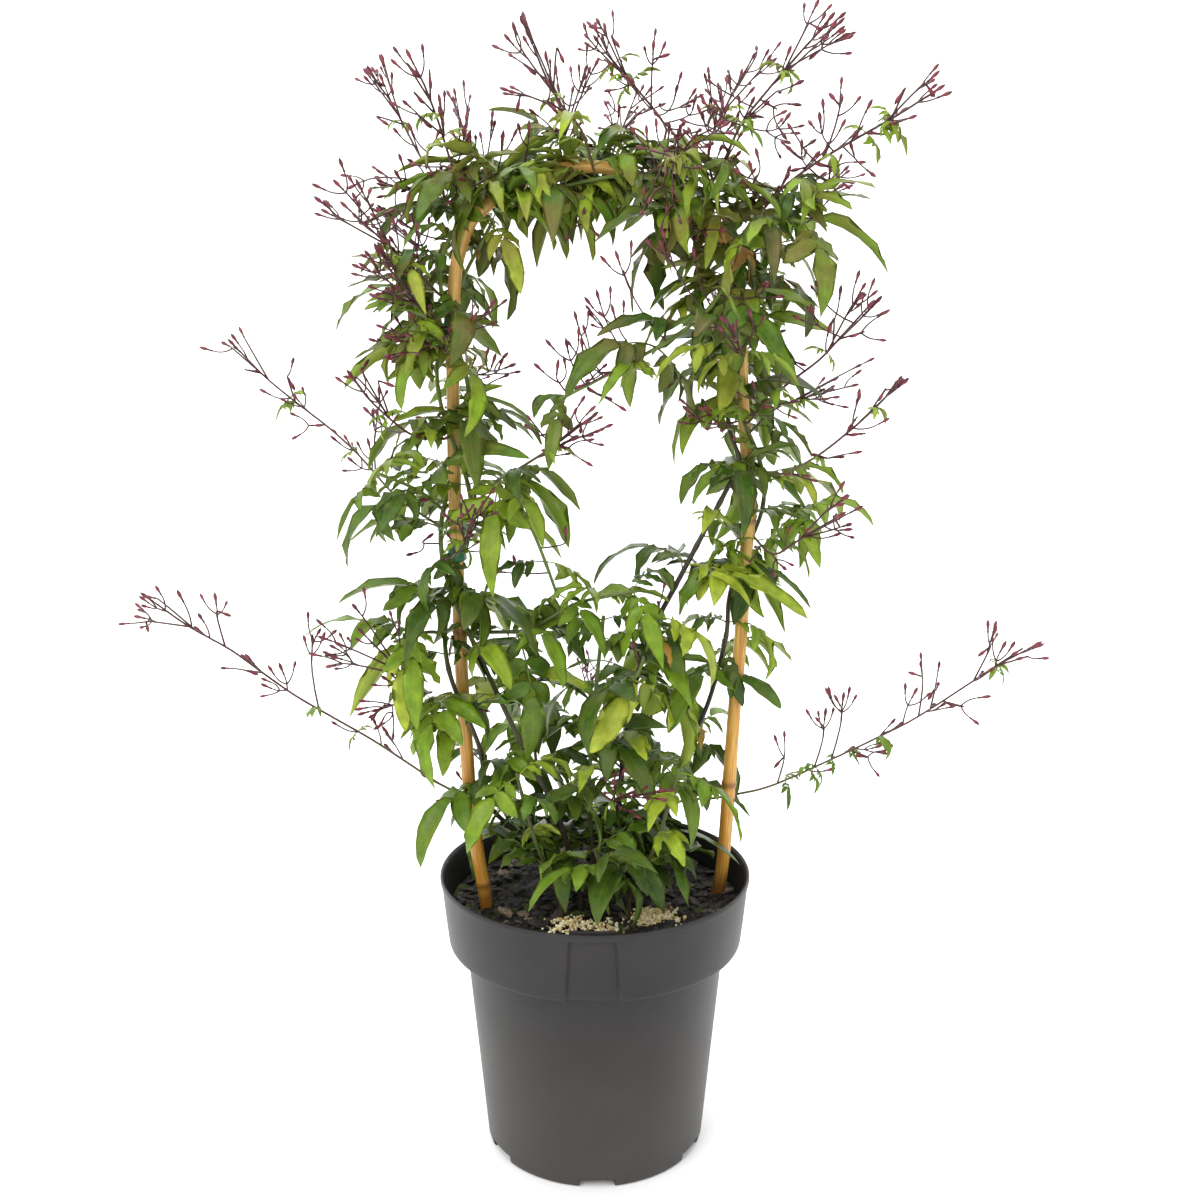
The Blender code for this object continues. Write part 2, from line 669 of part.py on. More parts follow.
def twist_point(hoop, mark, angle, offset):
    """A point beside the cane, at an angle round it."""
    centre, along = hoop.at(mark)
    side = along.cross(Vector((0, 1, 0))).normalized()
    up = side.cross(along)
    return centre + (math.cos(angle) * side + math.sin(angle) * up) * offset


def vine_path(hoop, plan):
    """From its hole in the mix along its own route, then round a leg of the hoop."""
    radius = plan["radius"] * MM
    offset = CANE_RADIUS + STEM_CLEARANCE + radius
    start, end = plan["marks"]
    count = round((end - start) / (20 * MM))
    points = [mm(p) for p in plan["route"]]
    for i in range(count + 1):
        share = i / count
        mark = start + (end - start) * share
        if plan["leg"] == "right":
            mark = hoop.length - mark
        angle = math.radians(plan["phase"]) + TWIST_RATE * mark
        points.append(twist_point(hoop, mark, angle, offset))
    x, y, _ = plan["route"][0]
    foot = mm((x, y, HOLE_FLOOR / MM + 0.5))
    return Path([foot, *smooth(points, ROUTE_STEP)], radius, 0.6 * radius)


def foot_clearance(foot, away, radius, tree):
    """How far a stem's flat foot is from the bark, tried at its middle and on two rings."""
    side = away.orthogonal().normalized()
    other = away.cross(side)
    spots = [foot]
    for i in range(16):
        angle = math.tau * i / 8
        spoke = math.cos(angle) * side + math.sin(angle) * other
        spots.append(foot + spoke * (radius if i < 8 else 0.5 * radius))
    return min(tree.find_nearest(spot)[3] for spot in spots)


def seated(route, carriers, foot_radius, step):
    """The route with its foot set on the side of the nearest stem, a gap off its bark."""
    foot, heading = mm(route[0]), mm(route[1])

    def strain(spot):
        centre, _ = spot[0].at(spot[1])
        return (centre - foot).length + 2 * (centre - heading).length

    spots = []
    for path in carriers:
        near = path.nearest(foot)
        for step_off in range(-4, 5):
            mark = near + step_off * SEAT_STEP
            spots.append((path, min(max(mark, SEAT_STEP), path.length - SEAT_STEP)))
    best, mark = min(spots, key=strain)
    centre, along = best.at(mark)
    away = heading - centre
    away = (away - along * away.dot(along)).normalized()
    start = centre + away * SEAT_STEP
    for _ in range(SEAT_ROUNDS):
        start -= away * (foot_clearance(start, away, foot_radius, best.tree) - GAP)
    lift = start + away * (4 * MM)
    return [start, *smooth([lift, *[mm(p) for p in route[1:]]], step)]


def shoot_path(plan, carriers):
    route, stands, radius = plan
    radius = radius * MM
    if stands:
        x, y, _ = route[0]
        foot = mm((x, y, HOLE_FLOOR / MM + 0.5))
        points = [foot, *smooth([mm(p) for p in route], ROUTE_STEP)]
    else:
        points = seated(route, carriers, radius, ROUTE_STEP)
    return Path(points, radius, 0.75 * radius)


def stalk(stations, tip):
    """A three-sided stalk through its stations (place, direction, radius), drawn to a point."""
    vertices, faces = [], [(0, 2, 1)]
    reference = stations[0][1].orthogonal()
    for centre, direction, radius in stations:
        direction = direction.normalized()
        reference = (reference - direction * reference.dot(direction)).normalized()
        other = direction.cross(reference)
        for i in range(3):
            angle = math.tau * i / 3
            spoke = math.cos(angle) * reference + math.sin(angle) * other
            vertices.append(centre + spoke * radius)
    for level in range(len(stations) - 1):
        for i in range(3):
            a, b = 3 * level + i, 3 * level + (i + 1) % 3
            faces.append((a, b, b + 3, a + 3))
    vertices.append(tip)
    last = 3 * (len(stations) - 1)
    faces.extend([(last + i, last + (i + 1) % 3, len(vertices) - 1) for i in range(3)])
    return outward(mesh_from("stalk", vertices, faces))


def bud_stalk(path, tip):
    """A stalk that leaves the stem, bends to its tip and swells to a bud there."""
    near = path.nearest(tip)
    distance = (tip - path.at(near)[0]).length
    mark = max(6 * MM, min(near, path.length - 4 * MM) - 0.75 * distance)
    foot, along = path.at(mark)
    reach = tip - foot
    side = (reach - along * reach.dot(along)).normalized()
    bend = foot + reach * 0.45 + along * (0.10 * reach.length) + side * (0.04 * reach.length)
    head = (tip - bend).normalized()
    start = foot + (bend - foot).normalized() * (0.2 * path.radius(mark))
    stations = [
        (start, bend - foot, 0.8 * STALK_RADIUS),
        (bend, head + reach.normalized(), STALK_RADIUS),
        (tip - head * BUD_LENGTH, head, STALK_RADIUS),
        (tip - head * (0.42 * BUD_LENGTH), head, BUD_RADIUS),
    ]
    if reach.length < LONG_STALK:
        del stations[1]
    return stalk(stations, tip)


def flowering_shoot(name, plan, carriers, parts, finish):
    """A stem that ends in a bud, joined to a stalk with a bud for each tip."""
    route, tips = plan
    points = seated(route, carriers, SPRAY_FOOT_RADIUS, SPRAY_STEP)
    path = Path(points, SPRAY_FOOT_RADIUS, SPRAY_TIP_RADIUS)
    stations = []
    for i, point in enumerate(path.points):
        before, after = path.points[max(0, i - 1)], path.points[min(i + 1, len(path.points) - 1)]
        stations.append((point, after - before, path.radius(path.marks[i])))
    end, along = path.at(path.length)
    stations.append((end + along * (0.25 * BUD_LENGTH), along, STALK_RADIUS))
    stations.append((end + along * (0.75 * BUD_LENGTH), along, BUD_RADIUS))
    stem = new_object(name, stalk(stations, end + along * (1.25 * BUD_LENGTH)), parts, finish)
    return combine(stem, "UNION", [bud_stalk(path, mm(tip)) for tip in tips])


def node_turn(name, node):
    """The turn of a pair of leaves round the stem: each pair stands crosswise to the last."""
    draw = random.Random("%s %d" % (name, node))
    return 0.5 * math.pi * (node % 2) + draw.uniform(-0.5, 0.5)


class Leaf:
    """A compound leaf: a rib that arches in an upright plane, with leaflets cut to the rib.

    All places along it are given by the distance from the middle of the stem that bears it.
    """

    def __init__(self, path, mark, name, node, side, attempt, size):
        draw = random.Random("%s %d %d %d" % (name, node, side, attempt))
        self.stem_radius = path.radius(mark)
        self.root, along = path.at(mark)
        across = along.cross(Vector((0, 0, 1)))
        across = across.normalized() if across.length > 0.1 else Vector((0, 1, 0))
        other = along.cross(across)
        turn = node_turn(name, node) + math.pi * side
        turn += draw.uniform(-0.35, 0.35) * (1 + attempt * 0.6)
        out = math.cos(turn) * across + math.sin(turn) * other
        heading = (out + along * draw.uniform(0.15, 0.65)).normalized()
        flat = Vector((heading.x, heading.y, 0))
        self.heading = flat.normalized()
        self.pitch = max(-0.5, min(1.0, math.asin(heading.z)))
        self.droop = draw.uniform(0.9, 1.9) + 0.5 * max(0.0, self.pitch)
        self.roll = draw.uniform(-0.45, 0.45)
        self.length = size * draw.uniform(0.85, 1.15)
        self.pairs = 2 if self.length > TWO_PAIRS_FROM else 1
        self.petiole = PETIOLE_SHARE * self.length
        self.pair_span = PAIR_SHARE * self.length
        self.end_base = self.petiole + self.pair_span * self.pairs
        self.end_width = (self.length - self.end_base) * draw.uniform(*END_LEAFLET_WIDTHS)
        self.twist = draw.uniform(-0.5, 0.5)
        self.side_length = SIDE_LEAFLET_SHARE * self.length * draw.uniform(0.9, 1.1)
        self.side_angle = draw.uniform(0.95, 1.2)
        self.side_dip = draw.uniform(0.15, 0.5)

    def frame(self, place):
        """The point, direction, upper side and left side at a place along the rib."""
        bend = self.droop / self.length
        angle = self.pitch - bend * place
        run = (math.sin(self.pitch) - math.sin(angle)) / bend
        rise = (math.cos(angle) - math.cos(self.pitch)) / bend
        up = Vector((0, 0, 1))
        point = self.root + self.heading * run + up * rise
        along = self.heading * math.cos(angle) + up * math.sin(angle)
        normal = -self.heading * math.sin(angle) + up * math.cos(angle)
        beyond = max(0.0, place - self.end_base) / (self.length - self.end_base)
        roll = self.roll + self.twist * beyond
        left = normal.cross(along)
        upper = normal * math.cos(roll) + left * math.sin(roll)
        return point, along, upper, upper.cross(along)

    def mesh(self, margin=0.0):
        """One closed blade; with a margin, a fatter copy that starts outside the stem."""
        half = LEAF_THICKNESS / 2 + margin
        rib = RIB_RADIUS + margin
        start = 0.3 * self.stem_radius if not margin else self.stem_radius + 2 * MM
        places = [start, self.petiole]
        for pair in range(self.pairs):
            places.append(self.petiole + self.pair_span * (pair + 1))
        vertices, faces = [], []

        def put(point):
            vertices.append(point)
            return len(vertices) - 1

        stations = []
        for place in places:
            point, _, upper, left = self.frame(place)
            stations.append((
                put(point + upper * (half + 0.2 * MM)),
                put(point - left * rib),
                put(point - upper * (half + 0.2 * MM)),
                put(point + left * rib),
            ))
        faces.append(stations[0])
        first, second = stations[0], stations[1]
        for i in range(4):
            j = (i + 1) % 4
            faces.append((first[i], second[i], second[j], first[j]))
        for pair in range(self.pairs):
            low, high = stations[pair + 1], stations[pair + 2]
            place = self.petiole + self.pair_span * (pair + 0.5)
            for side in (-1, 1):
                self.side_leaflet(put, faces, low, high, place, pair, side, half, margin)
        self.end_leaflet(put, faces, stations[-1], half, margin)
        return vertices, faces

    def side_leaflet(self, put, faces, low, high, place, pair, side, half, margin):
        """A pointed leaflet: a ring from rib to tip and back, and a middle above and below."""
        point, along, upper, left = self.frame(place)
        outward_side = left * side
        axis = along * math.cos(self.side_angle) + outward_side * math.sin(self.side_angle)
        axis = (axis - upper * self.side_dip).normalized()
        across = upper.cross(axis).normalized() * side
        normal = axis.cross(across).normalized() * side
        if normal.dot(upper) < 0:
            normal = -normal
        length = self.side_length * (1 - 0.12 * pair)
        width = 0.5 * SIDE_LEAFLET_WIDTH * length + margin
        reach = length + margin
        keel = KEEL_SHARE * width
        middle = point + axis * (0.45 * length)
        sag = Vector((0, 0, -0.10 * length))
        near = put(middle + across * width)
        tip = put(point + axis * reach + sag)
        far = put(middle - across * width)
        above = put(middle + normal * (half - keel))
        below = put(middle - normal * (half + keel))
        edge = 3 if side > 0 else 1
        outline = [low[0], low[edge], near, tip, far, high[edge], high[0]]
        for i in range(len(outline)):
            faces.append((outline[i], outline[(i + 1) % len(outline)], above))
        outline[0], outline[-1] = low[2], high[2]
        for i in range(len(outline)):
            faces.append((outline[(i + 1) % len(outline)], outline[i], below))

    def end_leaflet(self, put, faces, last, half, margin):
        """The long end leaflet, widest before its middle and drawn out to a thin tip."""
        span = self.length - self.end_base
        rows = []
        for share, width in ((0.36, 1.0), (0.72, 0.52)):
            point, _, upper, left = self.frame(self.end_base + share * span)
            half_width = 0.5 * self.end_width * width + margin
            keel = KEEL_SHARE * half_width
            rows.append((
                put(point + upper * (half - keel)),
                put(point - left * half_width),
                put(point - upper * (half + keel)),
                put(point + left * half_width),
            ))
        point, along, _, _ = self.frame(self.length)
        tip = put(point + along * margin)
        for low, high in ((last, rows[0]), (rows[0], rows[1])):
            for i in range(4):
                j = (i + 1) % 4
                if i in (0, 3):
                    top, edge = (i, j) if i == 0 else (j, i)
                else:
                    top, edge = (j, i) if i == 1 else (i, j)
                faces.append((low[top], high[top], low[edge]))
                faces.append((high[top], high[edge], low[edge]))
        for i in range(4):
            faces.append((rows[1][i], rows[1][(i + 1) % 4], tip))


def leaf_places(path, start):
    """The marks of the leaf pairs, evenly spaced up to near the tip."""
    span = path.length - 3 * MM - start
    count = max(1, round(span / NODE_SPACING))
    return [start + span * i / count for i in range(count + 1)]


def crosses_itself(vertices, faces):
    """Whether two faces of a blade that share no corner cut each other."""
    tree = BVHTree.FromPolygons([tuple(v) for v in vertices], faces)
    return any(not set(faces[a]) & set(faces[b]) for a, b in tree.overlap(tree))


def clear_of_all(vertices, faces, obstacles):
    """Whether a blade keeps clear of the pot, the mix and everything that is already there."""
    for point in vertices:
        over_pot = math.hypot(point.x, point.y) < RIM_RADIUS + 2 * MM
        if point.z < (MIX_HEIGHT + CLEAR_OVER_MIX if over_pot else CLEAR_OVER_FLOOR):
            return False
    tree = BVHTree.FromPolygons([tuple(v) for v in vertices], faces)
    low = Vector(tuple(min(v[i] for v in vertices) for i in range(3)))
    high = Vector(tuple(max(v[i] for v in vertices) for i in range(3)))
    for (low_other, high_other), other in obstacles:
        apart = any(low[i] > high_other[i] or high[i] < low_other[i] for i in range(3))
        if not apart and tree.overlap(other):
            return False
    return True


def obstacle(vertices, tree):
    low = tuple(min(v[i] for v in vertices) for i in range(3))
    high = tuple(max(v[i] for v in vertices) for i in range(3))
    return (low, high), tree


def obstacle_of(piece):
    vertices = [v.co.copy() for v in piece.data.vertices]
    return obstacle(vertices, tree_of(piece.data))


def leaves_for(name, path, start, size, obstacles):
    """Opposite pairs of leaves, each turned until it is clear, and left out if it never is."""
    blades = []
    places = leaf_places(path, start)
    for node, mark in enumerate(places):
        for side in (0, 1):
            share = 1 - 0.35 * (mark / path.length) ** 2
            for attempt in range(LEAF_TRIES):
                leaf = Leaf(path, mark, name, node, side, attempt, size * share)
                if not clear_of_all(*leaf.mesh(LEAF_MARGIN), obstacles):
                    continue
                vertices, faces = leaf.mesh()
                if crosses_itself(vertices, faces):
                    continue
                mesh = outward(mesh_from("leaf", vertices, faces))
                blades.append(mesh)
                obstacles.append(obstacle(vertices, tree_of(mesh)))
                break
    return blades


def clear_scene():
    for piece in list(bpy.data.objects):
        bpy.data.objects.remove(piece)
    bpy.data.orphans_purge(do_recursive=True)


def build():
    clear_scene()
    parts = bpy.data.collections.new("potted_jasmine")
    bpy.context.scene.collection.children.link(parts)

    plastic = material("pot_plastic", (0.06, 0.06, 0.058), 0.5)
    peat = material("potting_mix", (0.03, 0.022, 0.016), 0.9)
    granule = material("feed_granules", (0.72, 0.60, 0.38), 0.8)
    bamboo = material("bamboo", (0.60, 0.37, 0.13), 0.4)
    tape = material("green_tie", (0.02, 0.16, 0.08), 0.5)
    foliage = material("foliage", (0.09, 0.21, 0.03), 0.45)
    flowering = material("flowering_shoot", (0.22, 0.03, 0.06), 0.5)

    hoop = hoop_path()
    paths, stems, carriers = {}, {}, []
    for name, plan in {**VINES, **SHOOTS}.items():
        path = vine_path(hoop, plan) if name in VINES else shoot_path(plan, carriers)
        radii = [path.radius(mark) for mark in path.marks]
        stems[name] = tube(name, path.points, radii, 0, parts, foliage)
        path.tree = tree_of(stems[name].data)
        paths[name] = path
        carriers.append(path)

    pieces = [pot(parts, plastic)]
    cane = bamboo_hoop(hoop, parts, bamboo)
    pieces.append(cane)
    for number, mark in enumerate(TIES, 1):
        pieces.append(tie(number, hoop, mark, parts, tape))
    for name in GRANULE_PATCHES:
        pieces.append(feed_granules(name, parts, granule))

    legs = []
    for points in (hoop.points, hoop.points[::-1]):
        legs.append((Path(points, CANE_RADIUS, CANE_RADIUS), 2))
    standing = [(path, 0) for path in carriers if path.points[0].z < MIX_HEIGHT]
    potting_mix(parts, peat, legs + standing)
    pieces.extend(stems.values())
    for name, plan in SPRAYS.items():
        pieces.append(flowering_shoot("buds_" + name, plan, carriers, parts, flowering))

    obstacles = [obstacle_of(piece) for piece in pieces]
    for name in [*SHOOTS, *VINES]:
        path = paths[name]
        own = pieces.index(stems[name])
        others = obstacles[:own] + obstacles[own + 1:]
        placed = len(others)
        start = FIRST_NODE if path.points[0].z > MIX_HEIGHT else FIRST_NODE_STANDING
        blades = leaves_for(name, path, start, LEAF_LENGTH, others)
        obstacles += others[placed:]
        combine(stems[name], "UNION", blades)
        print(name, len(blades), "leaves")


build()
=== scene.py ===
# %% [markdown]
# # A potted jasmine on a bamboo hoop
#
# This notebook dresses the solid model of a pink jasmine in a nursery pot. The solids give every
# stem, leaf and stalk its place. Here each of them gets its fine form and its finish: cut
# leaflets with folded, wavy blades, round buds, a turned pot, bark chips and fibre in the cane.
# Lengths are in metres in the model, and in millimetres where a list says so.

import math
import random

import bmesh
import bpy
import numpy as np
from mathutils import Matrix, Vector


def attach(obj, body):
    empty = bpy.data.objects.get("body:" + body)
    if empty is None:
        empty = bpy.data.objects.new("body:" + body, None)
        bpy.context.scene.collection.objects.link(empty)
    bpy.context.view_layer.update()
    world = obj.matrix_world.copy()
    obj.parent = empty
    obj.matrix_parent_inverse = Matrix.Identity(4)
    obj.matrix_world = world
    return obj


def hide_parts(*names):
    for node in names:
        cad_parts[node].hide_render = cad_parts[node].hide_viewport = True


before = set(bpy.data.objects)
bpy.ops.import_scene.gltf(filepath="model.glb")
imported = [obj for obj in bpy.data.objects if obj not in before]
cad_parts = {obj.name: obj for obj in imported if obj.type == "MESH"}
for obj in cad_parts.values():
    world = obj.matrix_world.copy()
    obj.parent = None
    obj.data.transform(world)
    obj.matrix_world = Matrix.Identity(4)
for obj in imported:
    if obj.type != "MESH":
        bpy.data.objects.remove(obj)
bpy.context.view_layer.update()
MM = 0.001
UP = np.array([0.0, 0.0, 1.0])
print("solid nodes:", len(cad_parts))

# %% [markdown]
# ## Colours and nodes
#
# A colour is easiest to pick as the hex value that a screen shows, but a renderer mixes light
# in linear values. One function turns the first into the second. A second small function adds
# a shader node with its settings and its links, so that a material reads as a short list.


# %% Colour and material helpers
def linear(code):
    """sRGB to linear: c / 12.92 up to 0.04045, and ((c + 0.055) / 1.055) ** 2.4 above."""
    srgb = np.array([int(code[i:i + 2], 16) for i in (0, 2, 4)]) / 255
    rgb = np.where(srgb <= 0.04045, srgb / 12.92, ((srgb + 0.055) / 1.055) ** 2.4)
    return (*rgb.tolist(), 1.0)


def add(finish, kind, settings=(), links=()):
    """Adds a node; settings are (name, value), links are (input, socket that feeds it)."""
    node = finish.node_tree.nodes.new(kind)
    for name, value in settings:
        if isinstance(name, str) and hasattr(node, name):
            setattr(node, name, value)
        else:
            node.inputs[name].default_value = value
    for name, socket in links:
        finish.node_tree.links.new(socket, node.inputs[name])
    return node


def ramp(finish, value, stops):
    """A colour ramp through (place, hex) stops, read at a value."""
    node = add(finish, "ShaderNodeValToRGB", (), [("Fac", value)])
    elements = node.color_ramp.elements
    while len(elements) < len(stops):
        elements.new(0.5)
    for element, (place, code) in zip(elements, stops):
        element.position = place
        element.color = linear(code)
    return node.outputs["Color"]


def mix(finish, share, first, second):
    """The blend of two colours: first at share 0, second at share 1."""
    node = add(finish, "ShaderNodeMix", [("data_type", "RGBA")], [(0, share), (6, first), (7, second)])
    return node.outputs[2]


def new_finish(name, roughness, **settings):
    """A Principled material with plain settings on its own sockets, and its shader node."""
    finish = bpy.data.materials.new(name)
    finish.use_nodes = True
    shader = finish.node_tree.nodes["Principled BSDF"]
    shader.inputs["Roughness"].default_value = roughness
    for key, value in settings.items():
        shader.inputs[key.replace("_", " ")].default_value = value
    return finish, shader


def feed(finish, shader, **sockets):
    """Links sockets to the shader's inputs of that name."""
    for key, socket in sockets.items():
        finish.node_tree.links.new(socket, shader.inputs[key.replace("_", " ")])


def bump(finish, shader, height, strength, distance):
    """Bump on the shader's normal from a height socket; distance in metres."""
    node = add(
        finish, "ShaderNodeBump", [("Strength", strength), ("Distance", distance)],
        [("Height", height)],
    )
    finish.node_tree.links.new(node.outputs["Normal"], shader.inputs["Normal"])


print("nursery green is", [round(c, 3) for c in linear("4f7d2c")])

# %% [markdown]
# ## Surfaces from arrays
#
# Every new piece is a grid of points that numpy works out at once. A patch has stations along
# it and places round it. `skin` turns a list of such patches into one mesh and keeps what is
# known of each point, such as how far along a leaf it lies, as attributes that a material can
# read. A modifier stack would do the same, but only for one piece at a time.


# %% Mesh helpers
def unit(vectors):
    """v / |v| for a whole array."""
    return vectors / np.maximum(np.linalg.norm(vectors, axis=-1, keepdims=True), 1e-12)


def grid_faces(count, rows, columns, closed):
    """Quads (i, j), (i, j+1), (i+1, j+1), (i+1, j) of every patch, round and round if closed."""
    last = columns if closed else columns - 1
    i, j = np.meshgrid(np.arange(rows - 1), np.arange(last), indexing="ij")
    k = (j + 1) % columns
    quads = np.stack([i * columns + j, i * columns + k, (i + 1) * columns + k, (i + 1) * columns + j], -1)
    offsets = np.arange(count) * rows * columns
    return (quads.reshape(1, -1, 4) + offsets[:, None, None]).reshape(-1, 4)


def skin(name, patches, closed=True):
    """One mesh from patches (points[k, i, j], {attribute: values}), welded at seams and poles."""
    vertices, faces, values, start = [], [], {}, 0
    for points, attributes in patches:
        count, rows, columns, _ = points.shape
        faces.append(grid_faces(count, rows, columns, closed) + start)
        vertices.append(points.reshape(-1, 3))
        start += count * rows * columns
        for key, value in attributes.items():
            spread = np.broadcast_to(value, (count, rows, columns)).reshape(-1)
            values.setdefault(key, []).append(spread)
    mesh = bpy.data.meshes.new(name)
    mesh.from_pydata(np.concatenate(vertices), [], np.concatenate(faces))
    for key, value in values.items():
        layer = mesh.attributes.new(key, "FLOAT", "POINT")
        layer.data.foreach_set("value", np.concatenate(value).astype(np.float32))
    shape = bmesh.new()
    shape.from_mesh(mesh)
    bmesh.ops.remove_doubles(shape, verts=shape.verts, dist=1e-7)
    shape.to_mesh(mesh)
    shape.free()
    mesh.shade_smooth()
    return mesh


def tubes(paths, radii, sides, reference):
    """Tubes round paths[k, i]: p = c + r (cos a * side + sin a * up), with
    side = unit(reference x t), up = t x side and a = 2 pi j / sides. The ends close in a cone."""
    along = unit(np.gradient(paths, axis=1))
    first = paths[:, :1] - along[:, :1] * radii[:, :1, None] * 0.5
    last = paths[:, -1:] + along[:, -1:] * radii[:, -1:, None] * 0.5
    paths = np.concatenate([first, paths, last], axis=1)
    radii = np.concatenate([0 * radii[:, :1], radii, 0 * radii[:, :1]], axis=1)
    along = np.concatenate([along[:, :1], along, along[:, -1:]], axis=1)
    side = unit(np.cross(np.broadcast_to(reference, along.shape), along))
    up = np.cross(along, side)
    angle = 2 * np.pi * np.arange(sides) / sides
    ring = np.cos(angle)[:, None] * side[:, :, None] + np.sin(angle)[:, None] * up[:, :, None]
    return paths[:, :, None] + radii[:, :, None, None] * ring


def show(name, mesh, finish, slot, *nodes):
    """Puts a mesh in the scene as a piece that stands for some solid nodes."""
    piece = bpy.data.objects.new(name, mesh)
    bpy.context.scene.collection.objects.link(piece)
    mesh.materials.append(finish)
    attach(piece, "root")
    if nodes:
        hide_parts(*nodes)
    print("%s: %d faces for %d nodes" % (name, len(mesh.polygons), len(nodes)))
    return piece


# %% [markdown]
# ## Routes
#
# Stems and the cane follow routes: smooth curves through points that were picked from all
# sides. The curve is the one that passes through each point and heads there from the last
# point to the next one (a Catmull-Rom curve). The solid model reads it in coarse steps, so the
# leaves are placed on those, and the stems that show are read again in fine steps.


# %% Curves through points
def smooth(points, step):
    """p(t) = (2b + (c - a) t + (2a - 5b + 4c - d) t^2 + (3b - a - 3c + d) t^3) / 2."""
    points = [np.asarray(p, float) for p in points]
    ends = [2 * points[0] - points[1], *points, 2 * points[-1] - points[-2]]
    route = []
    for a, b, c, d in zip(ends, ends[1:], ends[2:], ends[3:]):
        count = max(1, round(float(np.linalg.norm(c - b)) / step))
        t = (np.arange(count) / count)[:, None]
        square = (2 * a - 5 * b + 4 * c - d) * t**2
        route.append(0.5 * (2 * b + (c - a) * t + square + (3 * b - a - 3 * c + d) * t**3))
    route.append(points[-1][None])
    return np.concatenate(route)


class Route:
    """A centre line whose thickness tapers evenly, and the marks along it."""

    def __init__(self, points, foot_radius, tip_radius):
        self.points = np.asarray(points, float)
        steps = np.linalg.norm(np.diff(self.points, axis=0), axis=1)
        self.marks = np.concatenate([[0.0], np.cumsum(steps)])
        self.length = float(self.marks[-1])
        self.foot_radius = foot_radius
        self.tip_radius = tip_radius

    def radius(self, marks):
        return self.foot_radius + (self.tip_radius - self.foot_radius) * marks / self.length

    def at(self, marks):
        """The places and directions at marks along the route."""
        marks = np.clip(marks, 0.0, self.length)
        i = np.clip(np.searchsorted(self.marks, marks, side="right"), 1, len(self.points) - 1)
        a, b = self.points[i - 1], self.points[i]
        share = (marks - self.marks[i - 1]) / (self.marks[i] - self.marks[i - 1])
        return a + (b - a) * np.asarray(share)[..., None], unit(b - a)

    def nearest(self, point):
        marks = np.linspace(0, self.length, 401)
        return float(marks[np.argmin(((self.at(marks)[0] - point) ** 2).sum(-1))])

    def fine(self, step):
        """The same route read again in fine steps."""
        return Route(smooth(self.points, step), self.foot_radius, self.tip_radius)


# %% [markdown]
# ## The bamboo hoop
#
# The hoop is one thin bamboo cane, bent over steam and stuck into the pot at both ends. It is
# a tube along a route. What makes it bamboo is its joints: a raised scar with a groove above
# it, a slight kink in thickness between them, and fibres that run the whole length.

# %% Measures of the cane
CANE_RADIUS = 5.2 * MM
CANE_FOOT_RADIUS, CANE_TOP_RADIUS = 4.95 * MM, 4.15 * MM
HOOP_ROUTE = [
    (-68, 60), (-72, 110), (-77, 178), (-83, 220), (-87, 258), (-89, 297), (-91, 345), (-92, 400),
    (-93, 460), (-93, 520), (-92, 577), (-89, 620), (-80, 647), (-67, 660), (-48, 673), (-25, 681),
    (4, 683), (29, 676), (56, 664), (80, 646), (93, 622), (97, 585), (100, 530), (105, 480),
    (106, 455), (104, 423), (102, 370), (99, 324), (96, 266), (93, 210), (89, 178), (81, 150),
    (75, 112), (72, 66),
]
CANE_JOINTS = np.array([0.135, 0.32, 0.50, 0.79, 0.97, 1.16])
hoop_points = [np.array((x, 0.6 + 0.124 * x, z)) * MM for x, z in HOOP_ROUTE]
hoop = Route(smooth(hoop_points, 60 * MM), CANE_RADIUS, CANE_RADIUS)
print("the cane is %.0f mm long" % (hoop.length / MM))


# %% Shape of the cane
def cane_radius(route, marks):
    """r = thickness * (1 + 0.14 exp(-(d/1.6)^2) - 0.05 exp(-((d-4)/1.5)^2)), d from a joint, mm."""
    middle = np.abs(2 * marks / route.length - 1)
    radius = CANE_TOP_RADIUS + (CANE_FOOT_RADIUS - CANE_TOP_RADIUS) * middle
    d = (marks[:, None] - CANE_JOINTS * route.length / hoop.length) / MM
    bulge = 0.14 * np.exp(-((d / 1.6) ** 2)) - 0.05 * np.exp(-(((d - 4) / 1.5) ** 2))
    bulge += 0.035 * np.exp(-((d / 9) ** 2))
    return radius * (1 + bulge.sum(1)) * (1 + 0.012 * np.sin(marks * 61))


cane_route = hoop.fine(1.8 * MM)
cane_marks = cane_route.marks
cane_grid = tubes(
    cane_route.points[None], cane_radius(cane_route, cane_marks)[None], 20, np.array([0, 1.0, 0])
)
cane_along = np.concatenate([[0], cane_marks, cane_marks[-1:]])[None, :, None]
joint_distance = np.abs(cane_along - CANE_JOINTS.reshape(-1, 1, 1, 1) * cane_route.length / hoop.length)
cane_turn = 2 * np.pi * np.arange(20) / 20
cane_mesh = skin("bamboo_cane", [(cane_grid, {
    "along": cane_along,
    "round_x": np.cos(cane_turn),
    "round_y": np.sin(cane_turn),
    "joint": np.exp(-((joint_distance.min(0) / (2.6 * MM)) ** 2)),
})])


# %% Finish of the cane: dried bamboo, peeled and lightly smoked
def attribute(finish, name):
    """The value of a mesh attribute as a socket."""
    return add(finish, "ShaderNodeAttribute", [("attribute_name", name)]).outputs["Fac"]


def math_node(finish, operation, first, second):
    """operation(first, second), where each may be a socket or a number."""
    node = add(finish, "ShaderNodeMath", [("operation", operation)])
    for slot, value in ((0, first), (1, second)):
        if isinstance(value, (int, float)):
            node.inputs[slot].default_value = value
        else:
            finish.node_tree.links.new(value, node.inputs[slot])
    return node.outputs[0]


